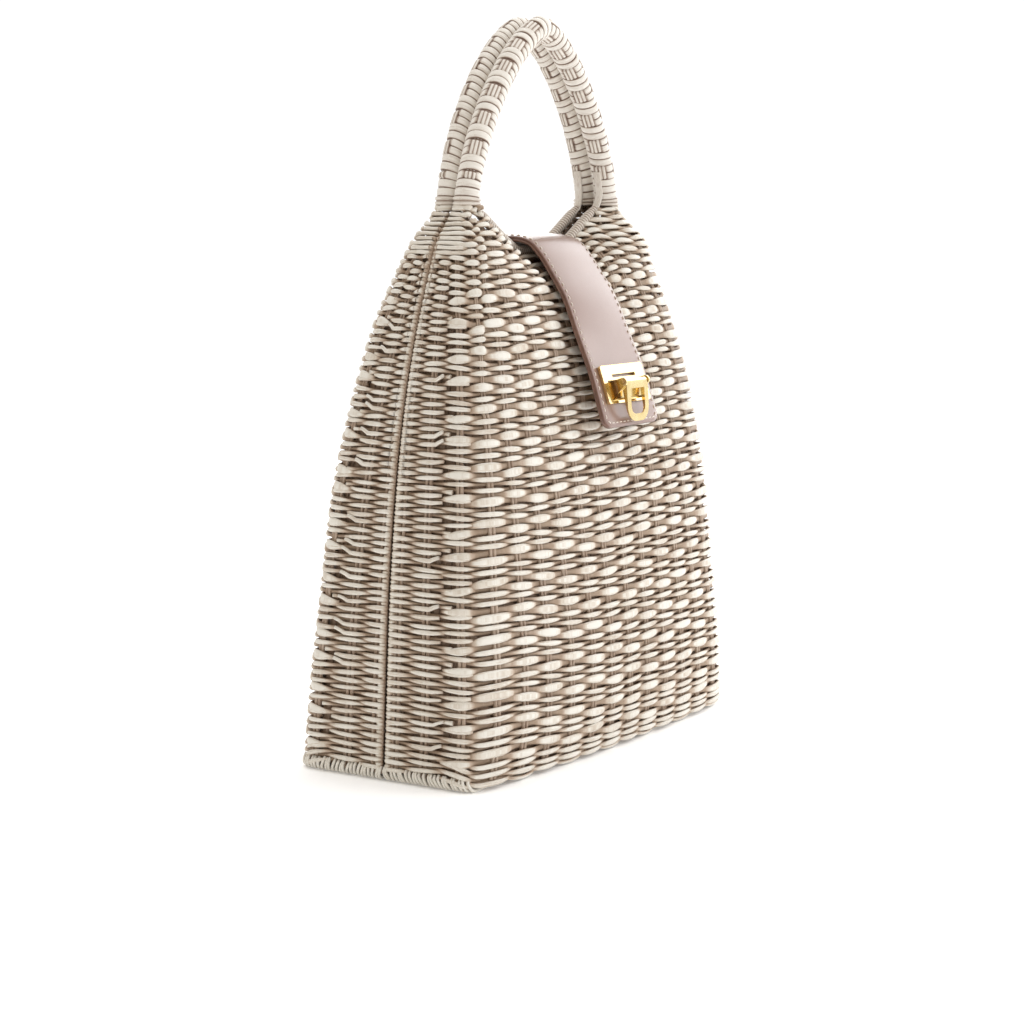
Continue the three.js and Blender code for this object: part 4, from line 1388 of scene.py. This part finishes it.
def floor():
    """A plain pale floor."""
    nodes = Nodes("floor")
    where = nodes.where()
    grain = nodes.noise(where, 400.0)
    nodes.set(Base_Color=nodes.ramp(grain, [(0.3, (253, 253, 253)), (0.7, (254, 254, 254))]), Roughness=0.9)
    nodes.set(Emission_Color=(1.0, 1.0, 1.0, 1.0), Emission_Strength=0.14)
    mesh = bpy.data.meshes.new("floor")
    corners = [(x * FLOOR_REACH, y * FLOOR_REACH, 0) for x, y in ((-1, -1), (1, -1), (1, 1), (-1, 1))]
    mesh.from_pydata(corners, [], [(0, 1, 2, 3)])
    mesh.materials.append(nodes.material)
    ground = linked("floor", mesh)


# Large soft lights: name, place, size and power
LIGHTS = (
    ("key", (0.7, -1.5, 1.1), 0.8, 5.0),
    ("side", (1.45, -0.2, 0.7), 1.4, 9.0),
    ("back", (1.3, 0.6, 1.0), 1.0, 4.0),
    ("top", (0.1, 0.2, 1.9), 0.9, 6.0),
)
LIGHTS_AIM = Vector((0.0, 0.0, 0.2))


def area_light(name, place, size, power):
    light = bpy.data.lights.new(name, "AREA")
    light.shape = "DISK"
    light.size = size
    light.energy = power
    lamp = linked(name, light)
    lamp.location = place
    lamp.rotation_euler = (LIGHTS_AIM - Vector(place)).to_track_quat("-Z", "Y").to_euler()


# Brightness of the surroundings and the headings between which it changes
DARK_SIDE = 0.45
BRIGHT_SIDE = 1.08
DARK_HEADING = -0.9
BRIGHT_HEADING = -0.1


def studio():
    """Soft white surroundings, darker and warmer on the left, and the lights."""
    world = bpy.data.worlds.new("studio")
    world.use_nodes = True
    tree = world.node_tree
    heading = tree.nodes.new("ShaderNodeSeparateXYZ")
    tree.links.new(tree.nodes.new("ShaderNodeTexCoord").outputs["Generated"], heading.inputs[0])
    shade = tree.nodes.new("ShaderNodeMapRange")
    tree.links.new(heading.outputs["X"], shade.inputs["Value"])
    shade.inputs["From Min"].default_value = DARK_HEADING
    shade.inputs["From Max"].default_value = BRIGHT_HEADING
    shade.inputs["To Min"].default_value = DARK_SIDE
    shade.inputs["To Max"].default_value = BRIGHT_SIDE
    background = tree.nodes["Background"]
    tint = tree.nodes.new("ShaderNodeValToRGB")
    tint.color_ramp.elements[0].position = DARK_SIDE
    tint.color_ramp.elements[0].color = linear((255, 239, 216))
    tint.color_ramp.elements[1].color = (1.0, 1.0, 1.0, 1.0)
    tree.links.new(shade.outputs["Result"], tint.inputs["Fac"])
    tree.links.new(tint.outputs["Color"], background.inputs["Color"])
    tree.links.new(shade.outputs["Result"], background.inputs["Strength"])
    bpy.context.scene.world = world
    for light in LIGHTS:
        area_light(*light)
    bpy.context.scene.view_settings.view_transform = "Standard"
    bpy.context.scene.view_settings.look = "None"


CAMERA_PLACE = (-1.2082, -0.746856, 0.3235)
CAMERA_AZIMUTH = math.radians(-57.79)
CAMERA_PITCH = math.radians(7.51)
CAMERA_ROLL = math.radians(0.40)
SENSOR = 36.0
FOCAL_PIXELS = 2366
IMAGE_PIXELS = 1024


def camera():
    """The photograph's viewpoint."""
    level = math.cos(CAMERA_PITCH)
    right = Vector((math.cos(CAMERA_AZIMUTH), math.sin(CAMERA_AZIMUTH), 0))
    ahead = Vector((-right.y * level, right.x * level, -math.sin(CAMERA_PITCH)))
    up = right.cross(ahead)
    rolled_right = right * math.cos(CAMERA_ROLL) + up * math.sin(CAMERA_ROLL)
    rolled_up = up * math.cos(CAMERA_ROLL) - right * math.sin(CAMERA_ROLL)
    lens = bpy.data.cameras.new("camera")
    lens.sensor_width = SENSOR
    lens.lens = FOCAL_PIXELS * SENSOR / IMAGE_PIXELS
    lens.clip_start = 0.05
    viewer = linked("camera", lens)
    turned = Matrix((rolled_right, rolled_up, -ahead)).transposed().to_4x4()
    viewer.matrix_world = Matrix.Translation(CAMERA_PLACE) @ turned
    bpy.context.scene.camera = viewer


floor()
studio()
camera()
